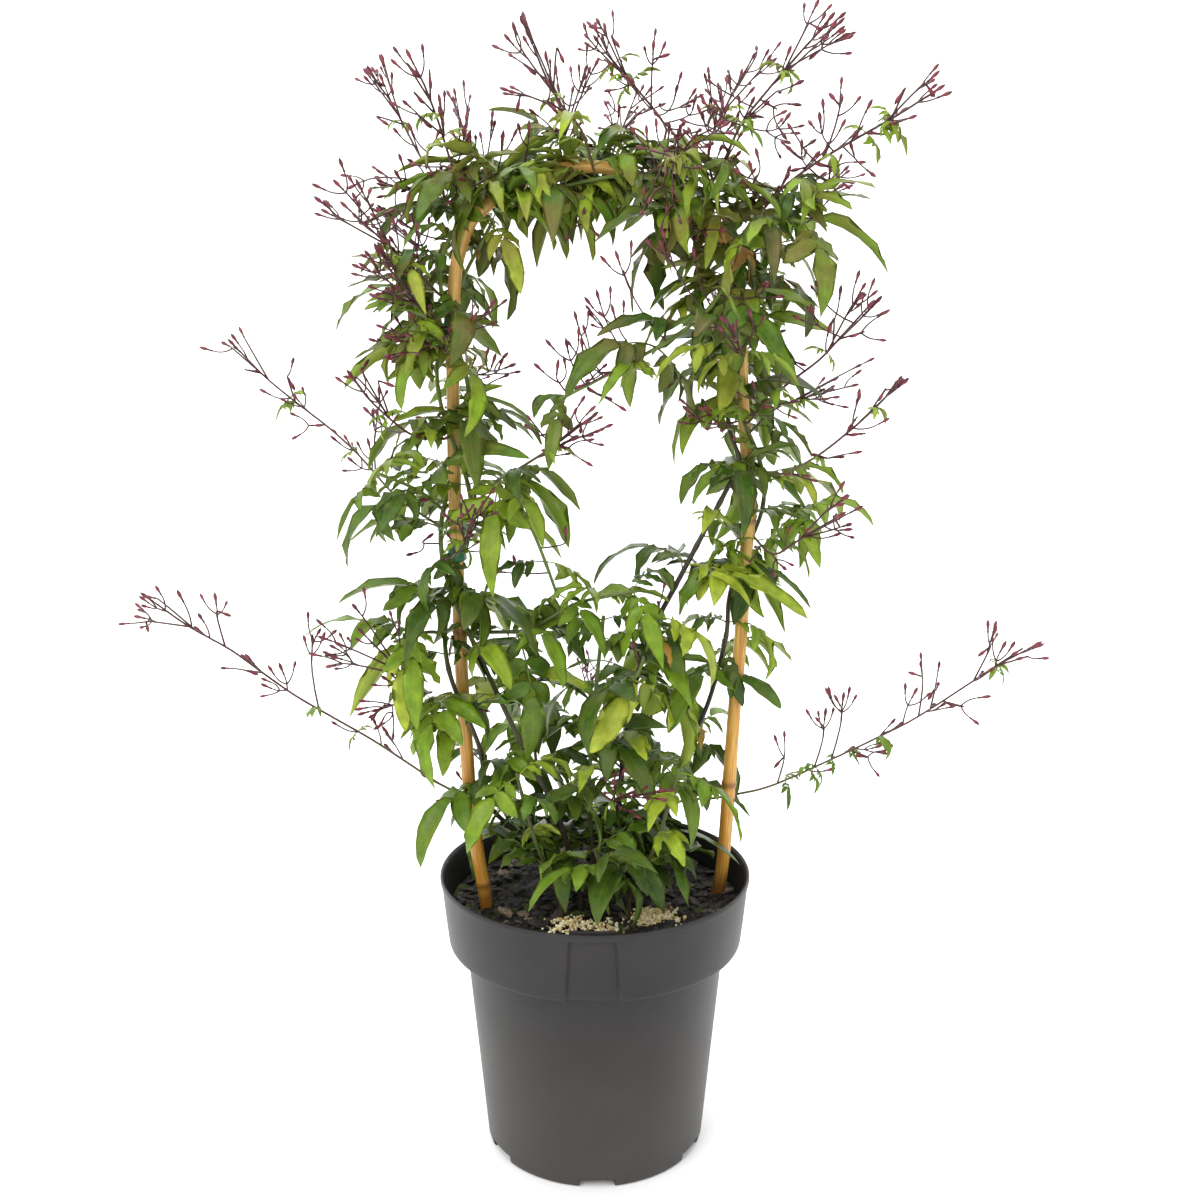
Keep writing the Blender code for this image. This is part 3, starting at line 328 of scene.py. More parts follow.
# Waxy skin over straight fibres about 0.6 mm wide, drawn 1.2 mm wide so that they show
bamboo, bamboo_shader = new_finish("dried_bamboo_cane", 0.36, IOR=1.5, Coat_Weight=0.12)
cane_space = add(bamboo, "ShaderNodeCombineXYZ", (), [
    ("X", math_node(bamboo, "MULTIPLY", attribute(bamboo, "round_x"), 1.0)),
    ("Y", math_node(bamboo, "MULTIPLY", attribute(bamboo, "round_y"), 1.0)),
    ("Z", math_node(bamboo, "MULTIPLY", attribute(bamboo, "along"), 9.0)),
])
fibre = add(bamboo, "ShaderNodeTexNoise", [("Scale", 4.5), ("Detail", 3.0), ("Roughness", 0.6)],
            [("Vector", cane_space.outputs[0])])
blotch = add(bamboo, "ShaderNodeTexNoise", [("Scale", 1.1), ("Detail", 2.0)],
             [("Vector", cane_space.outputs[0])])
straw = ramp(bamboo, fibre.outputs["Fac"], [(0.25, "aa8339"), (0.5, "d6ac57"), (0.8, "f0d28a")])
smoked = ramp(bamboo, blotch.outputs["Fac"], [(0.42, "ffffff"), (0.62, "e6d0ae"), (0.75, "bd9462")])
shaded = add(bamboo, "ShaderNodeMix", [("data_type", "RGBA"), ("blend_type", "MULTIPLY"), (0, 0.8)],
             [(6, straw), (7, smoked)])
scar = add(bamboo, "ShaderNodeRGB")
scar.outputs[0].default_value = linear("5f3f1c")
joint_share = math_node(bamboo, "MULTIPLY", attribute(bamboo, "joint"), 0.8)
jointed = mix(bamboo, joint_share, shaded.outputs[2], scar.outputs[0])
# The wet mix has stained the cane's feet
cane_height = add(bamboo, "ShaderNodeSeparateXYZ", (), [
    ("Vector", add(bamboo, "ShaderNodeTexCoord").outputs["Object"])]).outputs["Z"]
stain = add(bamboo, "ShaderNodeMapRange", [("From Min", 0.197), ("From Max", 0.185), ("To Max", 0.75)],
            [("Value", cane_height)])
stain_colour = add(bamboo, "ShaderNodeRGB")
stain_colour.outputs[0].default_value = linear("6b3f17")
# Darker and more golden towards the feet: partly the cane's own tone, partly painted light, as the straw colour above
# is kept light so that the upper cane, shaded by leaves, shows paler
foot_tone_and_lit_top_share = add(bamboo, "ShaderNodeMapRange", [("From Min", 0.44), ("From Max", 0.28)],
                   [("Value", cane_height)])
foot_tone_and_lit_top = add(bamboo, "ShaderNodeMix", [
    ("data_type", "RGBA"), ("blend_type", "MULTIPLY"), (7, linear("ebd8ae")),
], [(0, foot_tone_and_lit_top_share.outputs[0]), (6, jointed)])
cane_colour = mix(bamboo, stain.outputs[0], foot_tone_and_lit_top.outputs[2], stain_colour.outputs[0])
feed(bamboo, bamboo_shader, Base_Color=cane_colour)
bump(bamboo, bamboo_shader, fibre.outputs["Fac"], 0.25, 0.4 * MM)
show("bamboo_cane", cane_mesh, bamboo, "bamboo", "bamboo_hoop")

# %% [markdown]
# ## The nursery pot
#
# The pot is injection-moulded from dark recycled plastic: a tapered body, a deep collar with a
# rolled lip, a sunk place for the label at the front and drain slots round the foot. It is a
# profile turned round the pot's axis. The label's place isn't round, so the grid's columns
# there are drawn in towards the front, and the points between them are set back.

# %% Measures of the pot
POT_HEIGHT = 203 * MM
BASE_RADIUS = 78.8 * MM
SHOULDER = (101.4 * MM, 157.5 * MM)
THROAT = (105.8 * MM, 196 * MM)
# The label's place: half its angle at the foot and the top, and how far it is set back
LABEL_HALF_ANGLES = (math.radians(10.3), math.radians(8.4))
LABEL_TURN = math.radians(-0.7)
LABEL_FOOT, LABEL_TOP = 152.9 * MM, 197.5 * MM
LABEL_DEPTHS = (2.9 * MM, 2.6 * MM)
# Drain slots in the foot of the wall: half width, height and the turn of the front one
SLOT_HALF_ANGLE = 12.5 * MM / BASE_RADIUS
SLOT_HEIGHT = 6 * MM
SLOT_TURN = math.radians(1.2)
EDGE_ANGLE = math.radians(0.18)
POT_PROFILE = [
    (0, 3), (60, 3), (74.5, 3), (76.6, 4.2), (77.2, 6), (79, 26), (83, 70), (87, 117), (90.2, 152),
    (91.2, 155), (99.8, 157.0), (101.2, 157.9), (101.7, 160), (103.6, 176), (105.6, 194), (106.0, 196.5),
    (107.3, 200.6), (108.0, 202.2), (108.9, 203), (109.6, 202.7), (110, 201.7), (110, 199.8),
    (109.9, 199.3), (109.2, 198.9), (109.02, 198.3), (108.98, 197.7), (108.95, 197.4), (107.6, 183),
    (106.4, 171), (105.2, 160), (104.7, 155.4), (104.4, 154.2), (103.9, 153.3), (103.0, 153), (95, 153),
    (93.2, 152.8), (92.6, 151.8), (92.2, 149), (90, 124), (86.5, 86), (83, 48), (80, 15), (79.1, 6),
    (78.8, 2.8), (78.3, 1.0), (77, 0), (66, 0), (30, 0), (0, 0),
]


# %% Shape of the pot
def ease(value, low, high):
    """0 at low, 1 at high, and 3t^2 - 2t^3 between."""
    t = np.clip((value - low) / (high - low), 0, 1)
    return t * t * (3 - 2 * t)


def turned_pot():
    """(r sin a, -r cos a, z) of the profile, a from the front. Fifteen columns follow the label's
    sides higher up and the front slot's sides at the foot; r is less by the label's depth between
    the first, and z is at least SLOT_HEIGHT between the second."""
    r, z = (np.array(POT_PROFILE) * MM).T
    outside = np.arange(len(r)) > 18
    half = np.interp(z, [LABEL_FOOT, LABEL_TOP], LABEL_HALF_ANGLES)[:, None]
    across = np.linspace(-1, 1, 13)
    wall = np.radians(1.0)
    label = LABEL_TURN + np.concatenate([-half, across * (half - wall), half], axis=1)
    slot = SLOT_HALF_ANGLE * across
    slot = SLOT_TURN + np.concatenate([slot[:1] - EDGE_ANGLE, slot, slot[-1:] + EDGE_ANGLE])
    share = ease(z, 60 * MM, 140 * MM)[:, None]
    centres = SLOT_TURN + np.radians(60.0) * np.arange(1, 6)
    edges = SLOT_HALF_ANGLE * np.array([-1, 1]) + EDGE_ANGLE * np.array([[-1, 1], [0, 0]])
    rest = np.sort(np.concatenate([
        np.radians(np.arange(12.4, 348, 2.1)), (centres[:, None, None] + edges).reshape(-1),
    ]))
    angle = np.concatenate([label * share + slot * (1 - share), np.broadcast_to(rest, (len(r), len(rest)))], 1)
    sunk = np.zeros(angle.shape)
    sunk[:, 1:14] = (outside & (z > LABEL_FOOT) & (z < LABEL_TOP) & (r > 102.9 * MM))[:, None]
    depth = np.interp(z, [LABEL_FOOT, LABEL_TOP], LABEL_DEPTHS)[:, None]
    radius = r[:, None] - depth * sunk
    radius[:, 1:14] -= 0.8 * MM * (~outside & (z > 190 * MM) & (z < 202 * MM))[:, None]
    turn = (angle - SLOT_TURN) / np.radians(60.0)
    off = np.abs(turn - np.round(turn)) * np.radians(60.0)
    open_here = off < SLOT_HALF_ANGLE + 0.5 * EDGE_ANGLE
    height = np.broadcast_to(z[:, None], angle.shape).copy()
    lifted = (outside & (z < SLOT_HEIGHT) & (r > 67 * MM))[:, None] & open_here
    height[lifted] = SLOT_HEIGHT
    inner = (~outside & (z < SLOT_HEIGHT + 0.5 * MM) & (r > 66 * MM))[:, None] & open_here
    height[inner] += 4.5 * MM
    return np.stack([radius * np.sin(angle), -radius * np.cos(angle), height], -1)[None]


def label_tab():
    """A bar behind the lip: a rounded section carried from -a to a along the wall's inside."""
    angle = LABEL_TURN + np.radians(np.concatenate([[-8.2], np.linspace(-8.2, 8.2, 15), [8.2]]))
    section = np.array([
        (104.9, 195), (104.9, 203.6), (105.1, 204.1), (105.6, 204.3), (106.1, 204.1), (106.3, 203.6), (106.3, 195),
    ]) * MM
    loop = np.broadcast_to(section, (len(angle), *section.shape)).copy()
    loop[[0, -1]] = section.mean(0)
    r, z = loop[..., 0], loop[..., 1]
    return np.stack([r * np.sin(angle)[:, None], -r * np.cos(angle)[:, None], z], -1)[None]


pot_mesh = skin("moulded_pot", [(turned_pot()[:, ::-1], {}), (label_tab(), {})])
pot_mesh.set_sharp_from_angle(angle=math.radians(40))

# %% Finish of the pot: moulded recycled polypropylene
# Carbon-black plastic with a fine eggshell grain: dark warm grey, and paler where light grazes it
plastic, plastic_shader = new_finish("moulded_polypropylene", 0.42, IOR=1.49, Specular_IOR_Level=0.36)
place = add(plastic, "ShaderNodeTexCoord").outputs["Object"]
cloud = add(plastic, "ShaderNodeTexNoise", [("Scale", 22.0), ("Detail", 4.0)], [("Vector", place)])
grain = add(plastic, "ShaderNodeTexNoise", [("Scale", 1400.0), ("Detail", 1.0)], [("Vector", place)])
grey = ramp(plastic, cloud.outputs["Fac"], [(0.3, "191717"), (0.5, "1e1c1c"), (0.7, "232120")])
pot_height = add(plastic, "ShaderNodeSeparateXYZ", (), [("Vector", place)]).outputs["Z"]
# Painted reflection: the body turns paler grey towards the foot, as if it mirrored the bright floor
floor_reflection_share = add(plastic, "ShaderNodeMapRange", [("From Min", 0.15), ("From Max", 0.0), ("To Max", 0.3)],
            [("Value", pot_height)])
floor_reflection = add(plastic, "ShaderNodeRGB")
floor_reflection.outputs[0].default_value = linear("5b5751")
grey = mix(plastic, floor_reflection_share.outputs[0], grey, floor_reflection.outputs[0])
dull = add(plastic, "ShaderNodeMapRange", [("To Min", 0.36), ("To Max", 0.52)],
           [("Value", cloud.outputs["Fac"])])
feed(plastic, plastic_shader, Base_Color=grey, Roughness=dull.outputs[0])
bump(plastic, plastic_shader, grain.outputs["Fac"], 0.12, 0.2 * MM)
show("moulded_pot", pot_mesh, plastic, "pot_plastic", "pot")

# %% [markdown]
# ## Potting mix, bark and feed granules
#
# The pot holds a bark-based mix: a dark crumbly surface with chips lying about. The surface is
# a disc with relief. Each chip is the same twenty-sided lump, stretched, squashed and turned by
# its own random numbers, so several hundred chips cost little. The cream feed granules are the
# same lump, small and nearly round, in two heaps near the front.

# %% Surface of the mix
MIX_HEIGHT = 177 * MM
mix_share = (MIX_HEIGHT - SHOULDER[1]) / (THROAT[1] - SHOULDER[1])
MIX_RADIUS = SHOULDER[0] + mix_share * (THROAT[0] - SHOULDER[0]) - 0.3 * MM
GRANULE_PATCHES = [(-6, -46, 20), (42, -28, 16)]
# A bare spot in the first patch: its middle and its radius
BARE_SPOT = (-9, -55, 6)


def mix_height(x, y):
    """Height of the mix: long soft waves, short crumbs, and a rise of 2 mm to the pot's wall."""
    waves = np.sin(x * 310 + 1.3) * np.cos(y * 270 - 0.4) + 0.7 * np.sin(x * 530 - y * 410)
    crumbs = np.sin(x * 1900 + 3 * np.sin(y * 1300)) * np.sin(y * 2100 + 2 * np.sin(x * 1700))
    reach = np.hypot(x, y) / MIX_RADIUS
    return MIX_HEIGHT + (0.9 * waves + 0.9 * crumbs * (reach < 0.985) + 1.2 * reach**6) * MM


ring_share = np.linspace(0, 1, 72)[:, None]
mix_angle = (2 * np.pi * np.arange(150) / 150)[None]
mix_x = MIX_RADIUS * ring_share * np.cos(mix_angle)
mix_y = MIX_RADIUS * ring_share * np.sin(mix_angle)
mix_top = np.stack([mix_x, mix_y, mix_height(mix_x, mix_y)], -1)
mix_walls = [(SHOULDER[0] - 0.3 * MM, 158.5 * MM), (90.2 * MM, 155.5 * MM), (76.4 * MM, 9 * MM), (0, 8.5 * MM)]
mix_sides = np.stack([
    np.stack([r * np.cos(mix_angle[0]), r * np.sin(mix_angle[0]), np.full(150, z)], -1)
    for r, z in mix_walls
])
mix_mesh = skin("potting_mix_fine", [(np.concatenate([mix_top, mix_sides])[None], {})])
mix_mesh.flip_normals()

# %% Lumps for chips and granules
GOLDEN = (1 + math.sqrt(5)) / 2
LUMP_POINTS = unit(np.array([
    (-1, GOLDEN, 0), (1, GOLDEN, 0), (-1, -GOLDEN, 0), (1, -GOLDEN, 0), (0, -1, GOLDEN), (0, 1, GOLDEN),
    (0, -1, -GOLDEN), (0, 1, -GOLDEN), (GOLDEN, 0, -1), (GOLDEN, 0, 1), (-GOLDEN, 0, -1), (-GOLDEN, 0, 1),
], float))
LUMP_FACES = np.array([
    (0, 11, 5), (0, 5, 1), (0, 1, 7), (0, 7, 10), (0, 10, 11), (1, 5, 9), (5, 11, 4), (11, 10, 2),
    (10, 7, 6), (7, 1, 8), (3, 9, 4), (3, 4, 2), (3, 2, 6), (3, 6, 8), (3, 8, 9), (4, 9, 5), (2, 4, 11),
    (6, 2, 10), (8, 6, 7), (9, 8, 1),
])


def lumps(name, places, sizes, jitter, tilt, draw):
    """Lump k: p = place + Rz(yaw) Rx(tilt) (size * (corner + jitter))."""
    count = len(places)
    corners = LUMP_POINTS + draw.uniform(-jitter, jitter, (count, 12, 3))
    corners = corners * sizes[:, None]
    lean = draw.uniform(-tilt, tilt, count)[:, None]
    yaw = draw.uniform(0, 2 * np.pi, count)[:, None]
    x, y, z = corners[..., 0], corners[..., 1], corners[..., 2]
    y, z = y * np.cos(lean) - z * np.sin(lean), y * np.sin(lean) + z * np.cos(lean)
    x, y = x * np.cos(yaw) - y * np.sin(yaw), x * np.sin(yaw) + y * np.cos(yaw)
    points = np.stack([x, y, z], -1) + places[:, None]
    faces = (LUMP_FACES[None] + (np.arange(count) * 12)[:, None, None]).reshape(-1, 3)
    mesh = bpy.data.meshes.new(name)
    mesh.from_pydata(points.reshape(-1, 3), [], faces)
    layer = mesh.attributes.new("tint", "FLOAT", "POINT")
    layer.data.foreach_set("value", np.repeat(draw.uniform(0, 1, count), 12).astype(np.float32))
    return mesh


# %% Bark chips
bark_draw = np.random.default_rng(7)
CHIPS = 1900
chip_reach = (MIX_RADIUS - 3 * MM) * np.sqrt(bark_draw.uniform(0, 1, CHIPS))
chip_angle = bark_draw.uniform(0, 2 * np.pi, CHIPS)
chip_x, chip_y = chip_reach * np.cos(chip_angle), chip_reach * np.sin(chip_angle)
chip_length = bark_draw.gamma(1.5, 1.5, CHIPS)[:, None].clip(0, 9) + 0.8
chip_sizes = chip_length * np.stack([
    np.full(CHIPS, 1.0), bark_draw.uniform(0.35, 0.75, CHIPS), bark_draw.uniform(0.18, 0.4, CHIPS),
], -1) * MM
chip_sizes = np.minimum(chip_sizes, (MIX_RADIUS - chip_reach)[:, None] + 1 * MM)
for x0, y0, reach in GRANULE_PATCHES:
    near = np.hypot(chip_x - x0 * MM, (chip_y - y0 * MM) / 0.62) < reach * MM
    chip_sizes[near] *= 0.45
chip_z = mix_height(chip_x, chip_y) + chip_sizes[:, 2] * bark_draw.uniform(0.0, 0.9, CHIPS)
chip_mesh = lumps("bark_chips", np.stack([chip_x, chip_y, chip_z], -1), chip_sizes, 0.22, 0.5, bark_draw)

# %% Feed granules
grain_draw = np.random.default_rng(11)
grain_places, grain_sizes = [], []
for x0, y0, reach in GRANULE_PATCHES:
    count = 420
    clumps = grain_draw.uniform(-1, 1, (9, 2))
    spread = clumps[grain_draw.integers(0, 9, count)] + grain_draw.normal(0, 0.34, (count, 2))
    spread = spread.clip(-1.8, 1.8) * (reach * 0.9, reach * 0.62)
    x, y = (x0 + spread[:, 0]) * MM, (y0 + spread[:, 1]) * MM
    bare = np.hypot(x - BARE_SPOT[0] * MM, y - BARE_SPOT[1] * MM) < BARE_SPOT[2] * MM
    keep = (np.hypot(x, y) < MIX_RADIUS - 3 * MM) & ~bare
    heap = 2.6 * np.exp(-((spread[:, 0] / reach) ** 2) - (spread[:, 1] / (0.6 * reach)) ** 2)
    z = mix_height(x, y) + (grain_draw.uniform(0, 1, count) * heap + 1.1) * MM
    grain_places.append(np.stack([x, y, z], -1)[keep])
    grain_sizes.append((grain_draw.uniform(0.6, 1.45, (count, 1)) * grain_draw.uniform(0.75, 1.2, (count, 3)))[keep])
grain_mesh = lumps(
    "feed_grains", np.concatenate(grain_places), np.concatenate(grain_sizes) * MM, 0.16, 1.5, grain_draw
)

# %% Finishes of the mix: composted bark, wet and nearly black, and dry limy feed grains
soil, soil_shader = new_finish("composted_bark_mix", 0.85)
soil_place = add(soil, "ShaderNodeTexCoord").outputs["Object"]
# Crumbs of 1 to 3 mm
crumb = add(soil, "ShaderNodeTexNoise", [("Scale", 420.0), ("Detail", 6.0), ("Roughness", 0.7)],
            [("Vector", soil_place)])
mossy = add(soil, "ShaderNodeTexNoise", [("Scale", 38.0), ("Detail", 3.0)], [("Vector", soil_place)])
peat = ramp(soil, crumb.outputs["Fac"], [(0.3, "060504"), (0.5, "110d0a"), (0.66, "261e17"), (0.8, "463a2d")])
moss = ramp(soil, crumb.outputs["Fac"], [(0.3, "20270e"), (0.6, "48571f"), (0.8, "727f35")])
moss_share = add(soil, "ShaderNodeMapRange", [("From Min", 0.5), ("From Max", 0.6)],
                 [("Value", mossy.outputs["Fac"])])
feed(soil, soil_shader, Base_Color=mix(soil, moss_share.outputs[0], peat, moss))
bump(soil, soil_shader, crumb.outputs["Fac"], 0.9, 1.5 * MM)

bark, bark_shader = new_finish("pine_bark_chip", 0.7)
bark_place = add(bark, "ShaderNodeTexCoord").outputs["Object"]
flake = add(bark, "ShaderNodeTexNoise", [("Scale", 600.0), ("Detail", 3.0)], [("Vector", bark_place)])
bark_tint = ramp(bark, attribute(bark, "tint"), [
    (0.0, "050403"), (0.4, "100c09"), (0.68, "241c15"), (0.84, "3d3227"), (0.94, "5c4e40"), (1.0, "857460"),
])
bark_shade = add(bark, "ShaderNodeMix", [("data_type", "RGBA"), ("blend_type", "MULTIPLY"), (0, 0.7)], [
    (6, bark_tint), (7, ramp(bark, flake.outputs["Fac"], [(0.35, "6a6a6a"), (0.6, "ffffff")])),
])
feed(bark, bark_shader, Base_Color=bark_shade.outputs[2])
bump(bark, bark_shader, flake.outputs["Fac"], 0.5, 0.6 * MM)

limy, limy_shader = new_finish("coated_feed_granule", 0.75)
feed(limy, limy_shader, Base_Color=ramp(limy, attribute(limy, "tint"), [
    (0.0, "b89450"), (0.2, "dfcb8c"), (0.5, "f5ebbf"), (0.8, "fdf6d8"), (1.0, "d0a660"),
]))
show("potting_mix_fine", mix_mesh, soil, "potting_mix", "potting_mix")
show("bark_chips", chip_mesh, bark, "potting_mix")
show("feed_grains", grain_mesh, limy, "feed_granules", "feed_granules_left", "feed_granules_right")

# %% [markdown]
# ## Green ties
#
# Short lengths of green nursery tape hold the stems to the cane. Each is a sleeve: a thin
# rectangle carried round the cane, loose and a little wrinkled, so its radius wavers.

# %% Sleeves of tape
TIES = [0.375, 0.525, 0.72, 0.845]
TIE_HEIGHT = 11 * MM


def sleeve(mark, number):
    """A closed strip: the profile (offset, r) carried round the cane, r wavering by 0.25 mm."""
    centre, along = hoop.at(mark)
    side = unit(np.cross(along, np.array([0, 1.0, 0])))
    up = np.cross(side, along)
    base = float(cane_radius(hoop, np.array([mark]))[0]) + 0.5 * MM
    profile = np.array([
        (-0.5, 0.0), (-0.5, 0.9), (-0.44, 1.25), (-0.2, 1.1), (0.0, 1.3), (0.2, 1.05), (0.44, 1.3), (0.5, 0.9),
        (0.5, 0.0), (0.0, 0.0), (-0.5, 0.0),
    ])
    angle = 2 * np.pi * np.arange(28) / 28
    waver = 0.25 * np.sin(3 * angle + number) + 0.15 * np.sin(7 * angle + 2 * number)
    radius = base + (profile[:, 1:2] * (1.1 + waver[None])) * MM
    offset = profile[:, :1] * TIE_HEIGHT * (1 + 0.05 * np.sin(2 * angle[None] + number))
    spoke = np.cos(angle)[:, None] * side + np.sin(angle)[:, None] * up
    return centre + offset[..., None] * along + radius[..., None] * spoke


tape_mesh = skin("nursery_tape", [(np.stack([sleeve(mark, i) for i, mark in enumerate(TIES)])[:, ::-1], {})])
tape, tape_shader = new_finish("green_pvc_tape", 0.38, IOR=1.53)
tape_place = add(tape, "ShaderNodeTexCoord").outputs["Object"]
crease = add(tape, "ShaderNodeTexNoise", [("Scale", 260.0), ("Detail", 3.0)], [("Vector", tape_place)])
feed(tape, tape_shader, Base_Color=ramp(tape, crease.outputs["Fac"], [(0.3, "0d4a2c"), (0.6, "146b41"), (0.8, "2b8a5c")]))
bump(tape, tape_shader, crease.outputs["Fac"], 0.4, 0.5 * MM)
show("nursery_tape", tape_mesh, tape, "green_tie", *["green_tie_%d" % i for i in range(1, 5)])

# %% [markdown]
# ## The stems
#
# Four main stems come out of the mix and twine round the cane, all in the same direction as a
# jasmine does. Shorter leafy shoots stand in the mix or grow from a main stem. Their routes are
# the same as in the solid model.

# %% Routes of the main stems
TWIST_RATE = math.radians(1980)
STEM_CLEARANCE = 3.2 * MM
HOLE_FLOOR = 120 * MM
ROUTE_STEP, SPRAY_STEP = 26 * MM, 36 * MM
VINES = {
    "vine_left_front": ([(-24, 8, 192), (-48, 2, 222), (-72, -8, 250)], "left", (0.235, 0.60), 95, 2.2),
    "vine_left_over": ([(-10, -16, 192), (-26, -20, 250), (-58, -18, 318)], "left", (0.33, 0.72), 317, 2.2),
    "vine_right_diagonal": (
        [(14, 4, 192), (20, 0, 285), (34, 0, 362), (62, 0, 422)], "right", (0.43, 0.745), 197, 2.3,
    ),
    "vine_right_back": ([(36, 16, 192), (56, 18, 262), (80, 20, 318)], "right", (0.31, 0.60), 280, 2.1),
}
SHOOTS = {
    "mound_centre": ([(1, -6, 192), (-4, -10, 260), (0, -14, 330), (6, -20, 392)], True, 1.9),
    "mound_left": ([(-24, -30, 192), (-40, -44, 240), (-52, -52, 292)], True, 1.7),
    "mound_right": ([(24, -28, 192), (42, -44, 240), (56, -54, 296)], True, 1.7),
    "mound_back_left": ([(-26, 34, 192), (-42, 52, 250), (-48, 62, 312)], True, 1.7),
    "mound_back_right": ([(10, 40, 192), (34, 62, 250), (46, 72, 322)], True, 1.7),
    "mound_front": ([(4, -10, 210), (0, -40, 232), (4, -74, 234)], False, 1.5),
    "mound_mid": ([(0, -13, 305), (26, -34, 352), (42, -44, 400)], False, 1.5),
    "window_left": ([(-86, -18, 486), (-62, -34, 490), (-40, -36, 452), (-24, -36, 408)], False, 1.5),
    "window_cross": ([(-80, -18, 380), (-46, -28, 384), (-10, -32, 404), (28, -34, 412)], False, 1.5),
    "window_top": (
        [(92, -18, 614), (68, -34, 590), (34, -36, 567), (6, -38, 552), (-22, -40, 538)], False, 1.5,
    ),
    "left_out": ([(-96, -18, 455), (-116, -36, 480), (-138, -50, 492)], False, 1.5),
    "left_out_low": ([(-90, -18, 372), (-112, -34, 384), (-132, -44, 380)], False, 1.5),
    "right_out": ([(106, 14, 450), (125, 22, 458), (140, 20, 453)], False, 1.5),
    "shoulder_right": ([(94, -18, 632), (112, -38, 650), (130, -50, 646)], False, 1.5),
}


# %% Where each stem runs
def vine_route(name):
    """Its own points, then centre + (cos w * side + sin w * up) * offset, w = phase + rate * mark."""
    own, leg, (start, end), phase, radius = VINES[name]
    radius *= MM
    offset = CANE_RADIUS + STEM_CLEARANCE + radius
    count = round((end - start) / (20 * MM))
    marks = start + (end - start) * np.arange(count + 1) / count
    if leg == "right":
        marks = hoop.length - marks
    centre, along = hoop.at(marks)
    side = unit(np.cross(along, np.array([0, 1.0, 0])))
    up = np.cross(side, along)
    turn = (math.radians(phase) + TWIST_RATE * marks)[:, None]
    points = [np.array(p) * MM for p in own]
    points += list(centre + (np.cos(turn) * side + np.sin(turn) * up) * offset)
    foot = np.array([own[0][0] * MM, own[0][1] * MM, HOLE_FLOOR + 0.5 * MM])
    return Route(np.concatenate([foot[None], smooth(points, ROUTE_STEP)]), radius, 0.6 * radius)


def seated(route, carriers, step):
    """The route with its foot on the bark of the stem that bears it."""
    foot, heading = np.array(route[0]) * MM, np.array(route[1]) * MM
    best, least = None, 1e9
    for carrier in carriers:
        near = carrier.nearest(foot)
        for k in range(-4, 5):
            mark = min(max(near + k * 9 * MM, 9 * MM), carrier.length - 9 * MM)
            centre = carrier.at(mark)[0]
            strain = np.linalg.norm(centre - foot) + 2 * np.linalg.norm(centre - heading)
            if strain < least:
                best, least = (carrier, mark), strain
    centre, along = best[0].at(best[1])
    away = heading - centre
    away = unit(away - along * (away @ along))
    start = centre + away * (0.93 * best[0].radius(best[1]) + 0.3 * MM)
    lift = start + away * 4 * MM
    return np.concatenate([start[None], smooth([lift, *[np.array(p) * MM for p in route[1:]]], step)])


routes = {}
for name in VINES:
    routes[name] = vine_route(name)
for name, (own, stands, radius) in SHOOTS.items():
    if stands:
        foot = np.array([own[0][0] * MM, own[0][1] * MM, HOLE_FLOOR + 0.5 * MM])
        points = np.concatenate([foot[None], smooth([np.array(p) * MM for p in own], ROUTE_STEP)])
    else:
        points = seated(own, list(routes.values()), ROUTE_STEP)
    routes[name] = Route(points, radius * MM, 0.75 * radius * MM)
print("stems:", ", ".join("%s %.0f mm" % (n, r.length / MM) for n, r in routes.items()))

# %% [markdown]
# ## The leaves
#
# A jasmine leaf is pinnate: two or three pairs of narrow leaflets and a long end leaflet with a
# drawn-out tip, on a thin rib that arches over. The leaves stand in opposite pairs, each pair
# crosswise to the last. The pose of every solid leaf is worked out again from the same random
# numbers, and a leaf whose tip is found in the solid is the one that was placed.
# Smaller leaves between them thicken the plant to what the real one shows.

# %% Pose of one leaf
NODE_SPACING = 66 * MM
FIRST_NODE, FIRST_NODE_STANDING = 30 * MM, 105 * MM
LEAF_LENGTH = 92 * MM


def end_base(leaf):
    """The share of the leaf's length at which the end leaflet starts."""
    return 0.20 + 0.16 * leaf["pairs"]


def leaf_pose(route, mark, name, node, side, attempt, size):
    """Where a leaf starts, heads, arches and turns, with the solid model's own draws."""
    draw = random.Random("%s %d %d %d" % (name, node, side, attempt))
    root, along = route.at(mark)
    across = np.cross(along, UP)
    across = unit(across) if np.linalg.norm(across) > 0.1 else np.array([0, 1.0, 0])
    other = np.cross(along, across)
    crosswise = 0.5 * math.pi * (node % 2) + random.Random("%s %d" % (name, node)).uniform(-0.5, 0.5)
    turn = crosswise + math.pi * side + draw.uniform(-0.35, 0.35) * (1 + attempt * 0.6)
    out = math.cos(turn) * across + math.sin(turn) * other
    heading = unit(out + along * draw.uniform(0.15, 0.65))
    pose = {"root": root, "heading": unit(np.array([heading[0], heading[1], 0.0]))}
    pose["pitch"] = max(-0.5, min(1.0, math.asin(heading[2])))
    pose["droop"] = draw.uniform(0.9, 1.9) + 0.5 * max(0.0, pose["pitch"])
    pose["roll"] = draw.uniform(-0.45, 0.45)
    pose["length"] = size * draw.uniform(0.85, 1.15)
    pose["pairs"] = 2 if pose["length"] > 96 * MM else 1
    pose["width"] = (pose["length"] * (0.80 - 0.16 * pose["pairs"])) * draw.uniform(0.27, 0.34)
    pose["twist"] = draw.uniform(-0.5, 0.5)
    pose["curl"] = pose["droop"] * (1 - end_base(pose))
    pose["side_length"] = 0.34 * pose["length"] * draw.uniform(0.9, 1.1)
    pose["side_angle"] = draw.uniform(0.95, 1.2)
    pose["side_dip"] = draw.uniform(0.15, 0.5)
    pose["tint"] = 0.93 * random.Random("tint %s %d %d" % (name, node, side)).random()
    return pose


def stack(poses):
    """Poses of many leaves as one array for each quantity."""
    return {key: np.array([pose[key] for pose in poses], float) for key in poses[0]}


